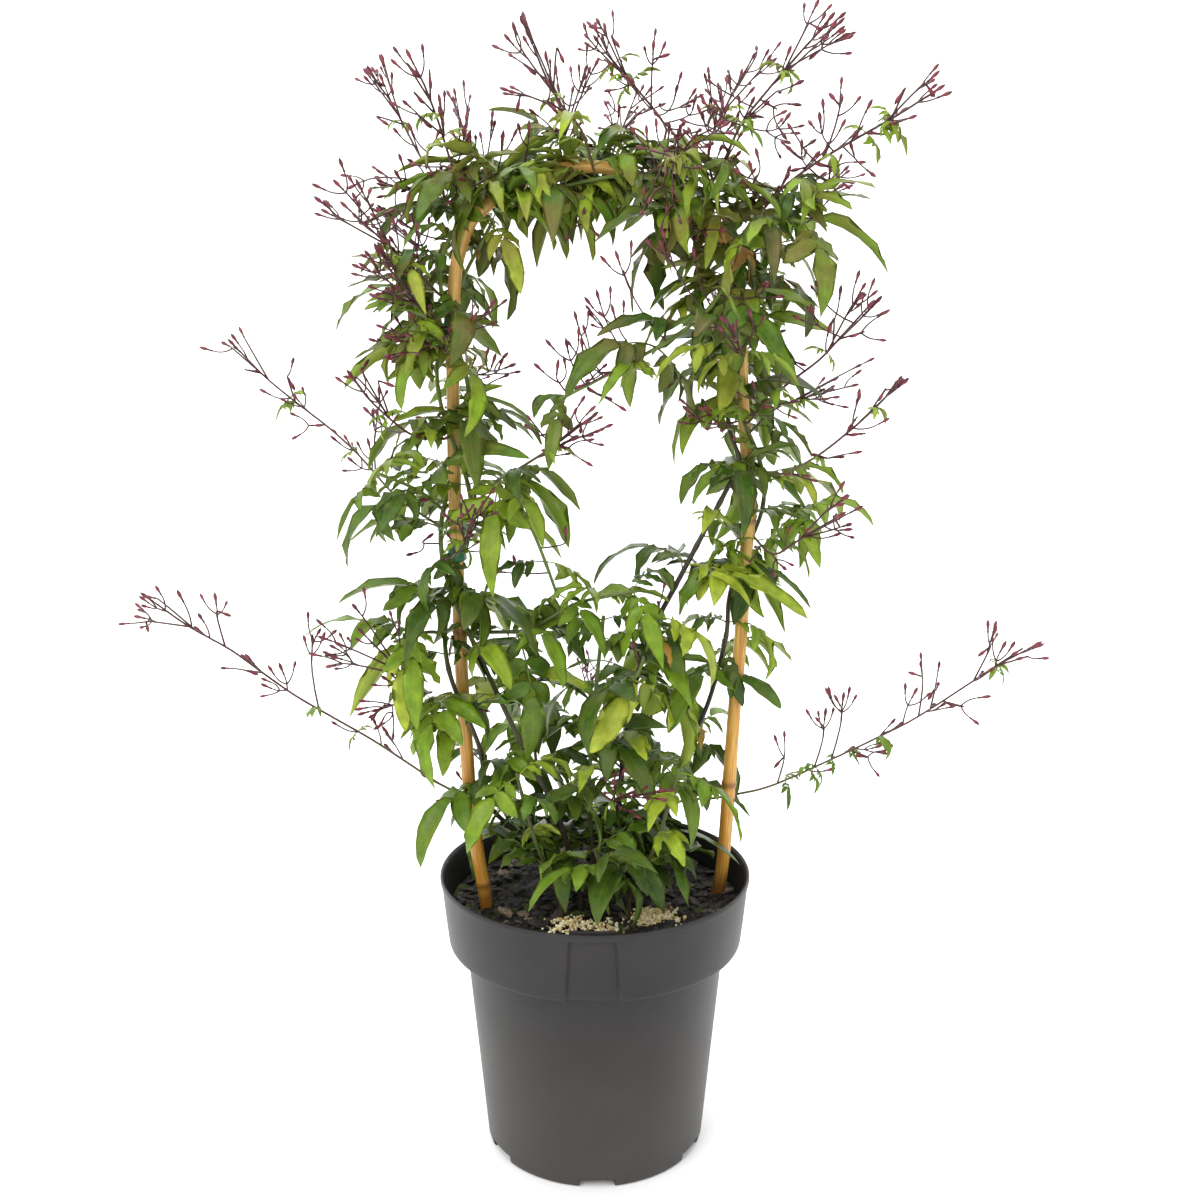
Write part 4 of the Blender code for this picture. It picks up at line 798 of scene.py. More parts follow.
def rib_frame(leaf, place):
    """Two arcs in a row: the angle falls by droop * s to the end leaflet's base e, and then by
    curl * (s - e) / (1 - e). An arc of bend k from angle a to b runs (sin a - sin b) / k and
    rises (cos b - cos a) / k."""
    base = end_base(leaf)
    past = np.maximum(0, place - base) / (1 - base)
    first, second = leaf["droop"] / leaf["length"], leaf["curl"] / (1 - base) / leaf["length"]
    pitch = leaf["pitch"]
    middle = pitch - leaf["droop"] * np.minimum(place, base)
    angle = middle - leaf["curl"] * past
    run = (np.sin(pitch) - np.sin(middle)) / first + (np.sin(middle) - np.sin(angle)) / second
    rise = (np.cos(middle) - np.cos(pitch)) / first + (np.cos(angle) - np.cos(middle)) / second
    point = leaf["root"] + leaf["heading"] * run[..., None] + UP * rise[..., None]
    along = leaf["heading"] * np.cos(angle)[..., None] + UP * np.sin(angle)[..., None]
    normal = -leaf["heading"] * np.sin(angle)[..., None] + UP * np.cos(angle)[..., None]
    left = np.cross(normal, along)
    upper = normal * np.cos(leaf["roll"])[..., None] + left * np.sin(leaf["roll"])[..., None]
    return point, along, upper


# %% Find the leaves of the solid model
def placed_leaves(name):
    """The pose of each leaf that the solid node holds, found by the corner at its tip."""
    route = routes[name]
    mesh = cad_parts[name].data
    corners = np.empty(3 * len(mesh.vertices), np.float32)
    mesh.vertices.foreach_get("co", corners)
    corners = corners.reshape(-1, 3)
    start = FIRST_NODE if route.points[0][2] > MIX_HEIGHT else FIRST_NODE_STANDING
    span = route.length - 3 * MM - start
    count = max(1, round(span / NODE_SPACING))
    found = []
    for node in range(count + 1):
        mark = start + span * node / count
        size = LEAF_LENGTH * (1 - 0.35 * (mark / route.length) ** 2)
        for side in (0, 1):
            best = (2.5 * MM, None)
            for attempt in range(16):
                pose = leaf_pose(route, mark, name, node, side, attempt, size)
                tip = rib_frame(stack([pose]), np.ones(1))[0][0]
                distance = np.linalg.norm(corners - tip, axis=1).min()
                if distance < best[0]:
                    best = (distance, pose)
            if best[1] is not None:
                found.append(best[1])
    return found


solid_leaves = {name: placed_leaves(name) for name in routes}
print("leaves found in the solids:", {name: len(found) for name, found in solid_leaves.items()})


# %% [markdown]
# The leaves between them are the scene's own. A stem that lies level would let half of them hang
# straight down, but a live leaf turns to the light, so these start level or rise and then arch
# over. None of them may hide the lengths of bare cane that show on the real plant.

# %% Leaves between them
EYE = np.array([0.0036, -0.9373, 0.6028])
# Bare lengths of the cane, as marks along it in metres
CANE_SHOWN = [
    (0.03, 0.20), (0.30, 0.325), (0.365, 0.40), (0.435, 0.46), (0.485, 0.535), (0.555, 0.58), (0.593, 0.62),
    (0.65, 0.735), (0.80, 0.825), (0.83, 0.865), (0.93, 0.99), (1.03, 1.06), (1.09, 1.31),
]
# The open part of the window under the bend, as seen from the front: low x, low z, high x, high z
OPEN_WINDOW = np.array([-62, 528, 2, 618]) * MM
shown_cane = hoop.at(np.concatenate([np.arange(a, b, 6 * MM) for a, b in CANE_SHOWN]))[0]
# No rib of these leaves passes closer than this in front of a tie
TIE_MARGIN = 15 * MM
tie_places = hoop.at(np.array(TIES))[0]


def from_front(points):
    """Where the sight line from the eye E through p meets the plane y = 0:
    E + (p - E) Ey / (Ey - py), of which x and z are kept."""
    share = EYE[1] / (EYE[1] - points[..., 1:2])
    return (EYE + (points - EYE) * share)[..., ::2]


def in_the_way(pose, margin):
    """Whether the leaf's arc runs in the mix, the pot's wall or the air beside the rim, hides a
    bare length of cane or hangs into the open part of the window."""
    points = rib_frame(stack([pose] * 10), np.linspace(0.1, 1, 10))[0]
    sunk = (np.hypot(points[:, 0], points[:, 1]) < 112 * MM) & (points[:, 2] < 186 * MM)
    sunk |= (np.hypot(points[:, 0], points[:, 1]) > 84 * MM) & (points[:, 2] < 232 * MM)
    seen = from_front(points)
    if ((seen > OPEN_WINDOW[:2]) & (seen < OPEN_WINDOW[2:])).all(1).any():
        return True
    for places, space in ((shown_cane, margin), (tie_places, max(margin, TIE_MARGIN))):
        away = seen[2:, None] - from_front(places)[None]
        before = points[2:, None, 1] < places[None, :, 1]
        if ((np.hypot(away[..., 0], away[..., 1]) < space) & before).any():
            return True
    return bool(sunk.any())


def held_out(pose, key):
    """The pose turned by up to 70 degrees, level or rising at its foot. Its rib brings the end
    leaflet nearly level, and the leaflet itself arches over."""
    draw = random.Random("held out " + key)
    turn = draw.uniform(-1.2, 1.2) * max(0.0, abs(pose["pitch"]) - 0.25)
    x, y = pose["heading"][:2]
    pose["heading"] = np.array([
        x * math.cos(turn) - y * math.sin(turn), x * math.sin(turn) + y * math.cos(turn), 0.0,
    ])
    pose["pitch"] = max(draw.uniform(-0.35, 0.5), 0.8 * pose["pitch"])
    hang = draw.uniform(-0.6, 0.75)
    pose["droop"] = max(0.15, pose["pitch"] + hang) / end_base(pose)
    pose["curl"] = draw.uniform(0.45, 1.6)
    return pose


def extra_leaves(route, name, marks, sizes, margin=7 * MM):
    """A pair of leaves at each mark, from a new row of random numbers."""
    made = []
    for node, (mark, size) in enumerate(zip(marks, sizes)):
        for side in (0, 1):
            for attempt in range(5):
                pose = leaf_pose(route, mark, name, node, side, attempt, size)
                pose = held_out(pose, "%s %d %d %d" % (name, node, side, attempt))
                if not in_the_way(pose, margin):
                    made.append(pose)
                    break
    return made


def filler_leaves(name, spacing, scale, lowest=0.0):
    """Pairs every so far along a stem, above some height, smaller towards its tip."""
    route = routes[name]
    start = 16 * MM if route.points[0][2] > MIX_HEIGHT else 84 * MM
    count = max(1, round((route.length - start) / spacing))
    marks = start + (route.length - start) * (np.arange(count) + 0.5) / count
    marks = marks[route.at(marks)[0][:, 2] > lowest]
    sizes = LEAF_LENGTH * scale * (1 - 0.3 * (marks / route.length) ** 2)
    return extra_leaves(route, "%s filler %.2f" % (name, lowest), marks, sizes)


filler = {name: filler_leaves(name, (33 if name.startswith("mound") else 41) * MM, 0.74) for name in routes}
for name in ("vine_left_over", "vine_right_diagonal", "vine_right_back"):
    filler[name] += filler_leaves(name, 25 * MM, 0.86, lowest=0.585)
print("leaves between them:", sum(len(made) for made in filler.values()))

# %% [markdown]
# The real cane shows only in short lengths, because leaves cross it at the front. Each of these
# starts at a stem beside the cane and arches over it.

# %% Leaves that cross the cane
# Their middles as seen from the front (x, z), the side they grow to, their length and tint
CROSSING = [
    (-87, 486, 1, 44, 0.75), (-95, 470, 1, 62, 0.55), (-93, 418, 1, 50, 0.02), (-85, 400, 1, 58, 0.45),
    (-84, 387, -1, 50, 0.0), (-86, 368, 1, 52, 0.15), (-84, 541, 1, 46, 0.5), (-91, 601, -1, 48, 0.5),
    (-88, 586, 1, 40, 0.3), (-75, 662, -1, 74, 0.45), (-84, 642, -1, 50, 0.35), (-55, 676, 1, 50, 0.3),
    (-31, 682, -1, 56, 0.4), (40, 673, 1, 64, 0.6), (108, 498, 1, 56, 0.1), (103, 478, -1, 52, 0.05),
    (101, 515, -1, 44, 0.6), (108, 424, 1, 50, 0.8), (103, 400, -1, 50, 0.1), (104, 372, -1, 46, 0.8),
    (91, 603, -1, 46, 0.3), (92, 573, 1, 56, 0.35), (100, 588, 1, 44, 0.2), (97, 549, -1, 50, 0.6),
    (96, 340, 1, 42, 0.15), (-77, 322, 1, 44, 0.2),
]
stem_line = np.concatenate([route.fine(4 * MM).points for route in routes.values()])
cane_line = hoop.fine(4 * MM).points


def crossing_leaf(x, z, way, length, tint, number):
    """A leaf whose middle M lies 12 mm before the cane. Its foot R is the stem point, on the side
    it grows from and not behind the cane, for which |M - R| is nearest to 0.55 of the length."""
    draw = random.Random("crossing %d" % number)
    near = cane_line[np.argmin(np.hypot(cane_line[:, 0] - x * MM, cane_line[:, 2] - z * MM))]
    middle = np.array([x * MM, near[1] - 12 * MM, z * MM])
    reach = middle - stem_line
    cost = np.abs(np.linalg.norm(reach, axis=1) - 0.55 * length * MM) + (way * reach[:, 0] < 4 * MM)
    cost += 2 * np.maximum(0, stem_line[:, 1] - near[1] + 2 * MM)
    reach = reach[np.argmin(cost)]
    flat = math.hypot(reach[0], reach[1])
    size = min(max(np.linalg.norm(reach) / 0.53, 0.85 * length * MM), 1.3 * length * MM)
    pose = {"root": middle - reach, "heading": np.array([reach[0] / flat, reach[1] / flat, 0.0])}
    pose["pitch"] = min(max(math.atan2(reach[2], flat) + 0.33, -0.6), 1.2)
    pose.update(droop=1.2, curl=draw.uniform(0.6, 1.1), roll=draw.uniform(-0.3, 0.3), length=size, pairs=1)
    pose.update(width=0.64 * size * draw.uniform(0.3, 0.38), twist=draw.uniform(-0.4, 0.4))
    pose.update(side_length=0.36 * size, side_angle=draw.uniform(0.8, 1.1), side_dip=0.3, tint=tint)
    return pose


crossing = [crossing_leaf(*row, number) for number, row in enumerate(CROSSING)]
print("crossing leaves, mm:", [round(pose["length"] / MM) for pose in crossing])

# %% [markdown]
# Some leaves stand out on the real plant: young ones in yellow-green and a few dry ones that
# have curled up. The leaf nearest to each such place gets the tint. A dry one also shrinks, so
# that is done only to the scene's own leaves.

# %% Leaves that stand out, by their place (x, z) in millimetres
YOUNG_PLACES = [(58, 304), (110, 412), (64, 378), (10, 300), (45, 279), (-141, 336), (71, 357)]
DRY_PLACES = [(-72, 640), (-66, 630), (93, 690), (123, 627), (89, 621), (119, 290), (67, 388), (-142, 304)]


def retint(poses, places, tint, count, dry=False):
    """Sets the tint of the few leaves whose middle is nearest to each place, front ones first."""
    middle = rib_frame(stack(poses), np.full(len(poses), 0.6))[0]
    for x, z in places:
        away = np.hypot(middle[:, 0] - x * MM, middle[:, 2] - z * MM) + 0.25 * middle[:, 1]
        for i in np.argsort(away)[:count]:
            poses[i]["tint"] = tint
            if dry:
                for key, factor in (("length", 0.5), ("width", 0.5), ("side_length", 0.45), ("droop", 2.0)):
                    poses[i][key] *= factor


retint([pose for name in routes for pose in solid_leaves[name] + filler[name]], YOUNG_PLACES, 0.88, 2)
retint([pose for name in routes for pose in filler[name]], DRY_PLACES, 1.1, 1, dry=True)

# %% [markdown]
# ### The blade
#
# Each leaflet is one closed blade: a loop of eight points, thin as a leaf, carried along its
# midrib. Its half width is a power curve that rises fast and runs out in a long tip. The two
# halves fold up along the midrib like a shallow V, the edges wave, and the midrib bends down.

# %% Shape of a leaflet
LOOP_ACROSS = np.array([1, 0.55, 0, -0.55, -1, -0.55, 0, 0.55])
LOOP_SIDE = np.array([0, 1, 1, 1, 0, -1, -1, -1.0])
BLADE_THICKNESS = 0.5 * MM


def along_blade(stations):
    """Shares of the midrib, closer at both ends: (1 - cos(pi k / (n - 1))) / 2."""
    return 0.5 - 0.5 * np.cos(np.pi * np.arange(stations) / (stations - 1))


def blades(base, axis, normal, length, width, curl, fold, twist, sickle, wave, phase, taper, stations):
    """Midrib: q(u) = base + L (sin(cu)/c) axis - L ((1 - cos cu)/c) normal + s u^2 L side.
    Half width: W/2 * u^0.55 (1 - u)^taper over its greatest value. Folded up by f on both sides."""
    u = along_blade(stations)[None]
    c = np.where(np.abs(curl) < 1e-3, 1e-3, curl)[:, None]
    run, drop = np.sin(c * u) / c, (1 - np.cos(c * u)) / c
    side = np.cross(normal, axis)
    rib = base[:, None] + length[:, None, None] * (
        run[..., None] * axis[:, None] - drop[..., None] * normal[:, None]
        + (sickle[:, None] * u**2)[..., None] * side[:, None]
    )
    upper = np.sin(c * u)[..., None] * axis[:, None] + np.cos(c * u)[..., None] * normal[:, None]
    turn = (twist[:, None] * u)[..., None]
    across = side[:, None] * np.cos(turn) + upper * np.sin(turn)
    upper = upper * np.cos(turn) - side[:, None] * np.sin(turn)
    shape = u**0.55 * (1 - u) ** taper[:, None]
    half = 0.5 * width[:, None] * shape / shape.max(axis=1, keepdims=True)
    v = LOOP_ACROSS[None, None]
    flat = half[..., None] * v * np.cos(fold)[:, None, None]
    ripple = wave[:, None, None] * np.sin(
        2 * np.pi * 2.4 * u[..., None] + phase[:, None, None] + 1.6 * np.sign(v)
    )
    rise = half[..., None] * (np.abs(v) * np.sin(fold)[:, None, None] + ripple * v**2)
    thick = 0.5 * BLADE_THICKNESS * np.minimum(1, half / (1.5 * MM))[..., None] * LOOP_SIDE
    keel = np.where((LOOP_SIDE < 0) & (LOOP_ACROSS == 0), -0.45 * MM, 0) * np.minimum(1, half / (2 * MM))[..., None]
    return rib[:, :, None] + flat[..., None] * across[:, :, None] + (rise + thick + keel)[..., None] * upper[:, :, None]


# %% A whole leaf from its pose
def leaf_patches(poses, seed, breadth=1.0, stations=9):
    """Ribs as thin tubes, and blades for the end leaflet and the pairs of every leaf. Leaves low
    down get a tint less by up to 0.4, a painted shade for the shaded lower part of the plant."""
    leaf = stack(poses)
    foot = leaf["root"][:, 2] / MM
    # Painted shade: the lower a leaf's foot, the darker its green
    painted_shade_low = 0.32 * ease(-foot, -345, -230) + 0.13 * ease(-foot, -560, -420)
    leaf["tint"] = np.where(leaf["tint"] < 0.85, np.maximum(0, leaf["tint"] - painted_shade_low), leaf["tint"])
    count = len(poses)
    draw = np.random.default_rng(seed)
    base = end_base(leaf)
    rib = np.stack([rib_frame(leaf, base * share)[0] for share in np.linspace(0, 1, 6)], 1)
    reference = np.cross(leaf["heading"], UP)[:, None]
    thick = np.linspace(0.85, 0.5, 6)[None] * MM * np.clip(leaf["length"] / LEAF_LENGTH, 0.5, 1)[:, None]
    patches = [(tubes(rib, thick, 5, reference), {
        "u": 0.0, "v": 1.0, "under": 0.0, "tint": leaf["tint"][:, None, None], "rib": 1.0,
    })]
    rows = [{
        "place": base, "length": leaf["length"] * (1 - base), "width": breadth * leaf["width"],
        "curl": leaf["curl"], "twist": leaf["twist"], "side": 0,
    }]
    pair_places = [(0.28, 1.0, 0), (0.44, 0.88, 1), (0.15, 0.62, 0)]
    for place, scale, needed in pair_places:
        for side in (-1, 1):
            there = leaf["pairs"] > needed
            rows.append({
                "place": np.full(count, place), "length": leaf["side_length"] * scale * there,
                "width": leaf["side_length"] * scale * 0.46 * breadth, "curl": draw.uniform(0.2, 1.2, count),
                "twist": draw.uniform(-0.3, 0.3, count), "side": side, "there": there,
            })
    for row in rows:
        point, along, upper = rib_frame(leaf, row["place"])
        keep = row.get("there", np.ones(count, bool))
        axis = along
        if row["side"]:
            out = np.cross(upper, along) * row["side"]
            angle = (leaf["side_angle"] + draw.uniform(-0.15, 0.15, count))[:, None]
            axis = along * np.cos(angle) + out * np.sin(angle)
            axis = unit(axis - upper * leaf["side_dip"][:, None])
            upper = unit(upper - axis * (upper * axis).sum(1, keepdims=True))
        grid = blades(
            point, axis, upper, row["length"], row["width"], row["curl"],
            draw.uniform(0.05, 0.6, count), row["twist"], draw.uniform(-0.3, 0.3, count),
            draw.uniform(0.08, 0.36, count), draw.uniform(0, 6.28, count), draw.uniform(0.72, 1.2, count), stations,
        )
        u = along_blade(stations)[None, :, None]
        patches.append((grid[keep], {
            "u": u, "v": LOOP_ACROSS, "under": (LOOP_SIDE < 0) * 1.0, "rib": 0.0,
            "tint": (leaf["tint"] + draw.uniform(-0.03, 0.03, count))[keep][:, None, None],
        }))
    return patches


# %% [markdown]
# ### Finish of the leaves
#
# A jasmine leaf is leathery and softly glossy: mid-green above, paler below, with a light
# midrib and faint side veins. Young leaves are yellow-green and a few old ones are dry and
# orange-brown. Each leaf carries its own number, and a colour ramp turns it into its green.

# %% Leaf finish: a waxy cuticle over green tissue
leafy, leafy_shader = new_finish("jasmine_leaf", 0.38, Specular_IOR_Level=0.24)
leaf_place = add(leafy, "ShaderNodeTexCoord").outputs["Object"]
patchy = add(leafy, "ShaderNodeTexNoise", [("Scale", 120.0), ("Detail", 3.0)], [("Vector", leaf_place)])
# A leaf's own number, mottled by up to 0.06 across the blade
mottle = math_node(leafy, "MULTIPLY", math_node(leafy, "SUBTRACT", patchy.outputs["Fac"], 0.5), 0.2)
tint = math_node(leafy, "ADD", attribute(leafy, "tint"), mottle)
u_value = attribute(leafy, "u")
off_rib = math_node(leafy, "ABSOLUTE", attribute(leafy, "v"), 0)
green = ramp(leafy, tint, [
    (0.0, "344f13"), (0.2, "486914"), (0.45, "618216"), (0.8, "84a020"), (0.955, "a6b238"), (0.985, "b0823c"),
])
pale = ramp(leafy, tint, [
    (0.0, "546e29"), (0.5, "76922d"), (0.955, "9cad4a"), (0.985, "b08a50"),
])


def share_between(finish, value, low, high, most=1.0):
    """0 at low, most at high, and even between."""
    return add(finish, "ShaderNodeMapRange", [("From Min", low), ("From Max", high), ("To Max", most)],
               [("Value", value)]).outputs[0]


# Side veins leave the midrib forwards, about nine on each side
side_space = math_node(leafy, "SUBTRACT", math_node(leafy, "MULTIPLY", u_value, 9.0),
                       math_node(leafy, "MULTIPLY", off_rib, 1.7))
side_vein = math_node(leafy, "ABSOLUTE", math_node(
    leafy, "SUBTRACT", math_node(leafy, "FRACT", side_space, 0), 0.5), 0)
side_share = share_between(leafy, side_vein, 0.42, 0.5, 0.3)
mid_share = share_between(leafy, off_rib, 0.08, 0.0, 0.55)
vein_share = math_node(leafy, "MAXIMUM", side_share, mid_share)
light_vein = ramp(leafy, tint, [(0.0, "576f2a"), (0.6, "869a3e"), (0.95, "b4bb60")])
upper_green = mix(leafy, vein_share, green, light_vein)
patch_shade = ramp(leafy, patchy.outputs["Fac"], [(0.3, "d2d2d2"), (0.7, "ffffff")])
upper_patch = add(leafy, "ShaderNodeMix", [("data_type", "RGBA"), ("blend_type", "MULTIPLY"), (0, 1.0)],
                  [(6, upper_green), (7, patch_shade)]).outputs[2]
leaf_colour = mix(leafy, attribute(leafy, "under"), upper_patch, pale)
# Sun on the crown brings out a bronze flush in patches, and a thin one along every edge
height = add(leafy, "ShaderNodeSeparateXYZ", (), [("Vector", leaf_place)]).outputs["Z"]
flushed = add(leafy, "ShaderNodeTexNoise", [("Scale", 34.0), ("Detail", 2.0)], [("Vector", leaf_place)])
flush_share = math_node(
    leafy, "MULTIPLY", share_between(leafy, flushed.outputs["Fac"], 0.4, 0.64),
    math_node(leafy, "ADD", share_between(leafy, height, 0.45, 0.62, 0.28), 0.17),
)
flush_share = math_node(leafy, "ADD", flush_share, share_between(leafy, off_rib, 0.75, 1.0, 0.22))
# Low down the edges are pale instead
bronze = ramp(leafy, height, [(0.3, "8f9638"), (0.56, "765535")])
feed(leafy, leafy_shader, Base_Color=mix(leafy, flush_share, leaf_colour, bronze))
bump(leafy, leafy_shader, math_node(leafy, "MULTIPLY", vein_share, -1.0), 0.35, 0.5 * MM)

# %% Leaves as pieces, one for each region of the plant
REGIONS = {
    "leaves_left": ["vine_left_front", "left_out", "left_out_low", "window_left", "window_cross"],
    "leaves_over": ["vine_left_over"],
    "leaves_right": ["vine_right_back", "right_out", "shoulder_right"],
    "leaves_crossing": ["vine_right_diagonal", "window_top"],
    "leaves_mound": [name for name in SHOOTS if name.startswith("mound")],
}
for number, (region, names) in enumerate(REGIONS.items()):
    poses = [pose for name in names for pose in solid_leaves[name] + filler[name]]
    breadth = 1.25 if region == "leaves_mound" else 1.08
    show(region, skin(region, leaf_patches(poses, 40 + number, breadth)), leafy, "foliage", *names)

show("leaves_on_cane", skin("leaves_on_cane", leaf_patches(crossing, 60, 1.1)), leafy, "foliage")

# %% [markdown]
# ### The stems that bear them
#
# Jasmine stems are thin, round and a little swollen at each pair of leaves. Young ones are
# green with a purple flush, and the oldest, near the mix, are woody and brown.

# %% Stems as tubes
# How much older than its height some stems look
STEM_AGE = {"vine_right_diagonal": 0.6, "vine_right_back": 0.3}
STEM_AGE.update({name: -0.35 for name in SHOOTS if name.startswith("mound")})
stem_patches = []
for number, (name, route) in enumerate(routes.items()):
    fine = route.fine(4 * MM)
    swell = 1 + 0.22 * np.exp(-((((fine.marks + 20 * MM) % (33 * MM)) - 16 * MM) / (2.5 * MM)) ** 2)
    grid = tubes(fine.points[None], (fine.radius(fine.marks) * swell * 0.92)[None], 8, np.array([0.1, 1.0, 0]))
    age = np.clip(1 - (fine.points[:, 2] - 0.18) / 0.3 + STEM_AGE.get(name, 0), 0, 1)
    age = np.concatenate([age[:1], age, age[-1:]])[None, :, None]
    stem_patches.append((grid, {"age": age, "tint": (number * 0.37) % 1}))
stem_mesh = skin("twining_stems", stem_patches)
stem, stem_shader = new_finish("jasmine_stem", 0.5, IOR=1.45)
stem_place = add(stem, "ShaderNodeTexCoord").outputs["Object"]
streak = add(stem, "ShaderNodeTexNoise", [("Scale", 90.0), ("Detail", 3.0)], [("Vector", stem_place)])
stem_age = math_node(stem, "ADD", math_node(stem, "MULTIPLY", attribute(stem, "age"), 0.75),
                     math_node(stem, "MULTIPLY", streak.outputs["Fac"], 0.35))
feed(stem, stem_shader, Base_Color=ramp(stem, stem_age, [
    (0.1, "61752b"), (0.35, "515f27"), (0.6, "403a23"), (0.8, "2a2119"), (1.0, "1d1714"),
]))
show("twining_stems", stem_mesh, stem, "foliage", *routes)

# %% [markdown]
# ## The flowering shoots
#
# The plant's crown is a haze of red-purple buds. Each shoot is a slender stem with opposite
# stalks that fork again, and every fork ends in a cluster of narrow buds. The solid model holds
# each shoot and its outermost buds. Here each of those stalks gets its own cluster, with more
# stalks between them, and small young leaves where they fork.

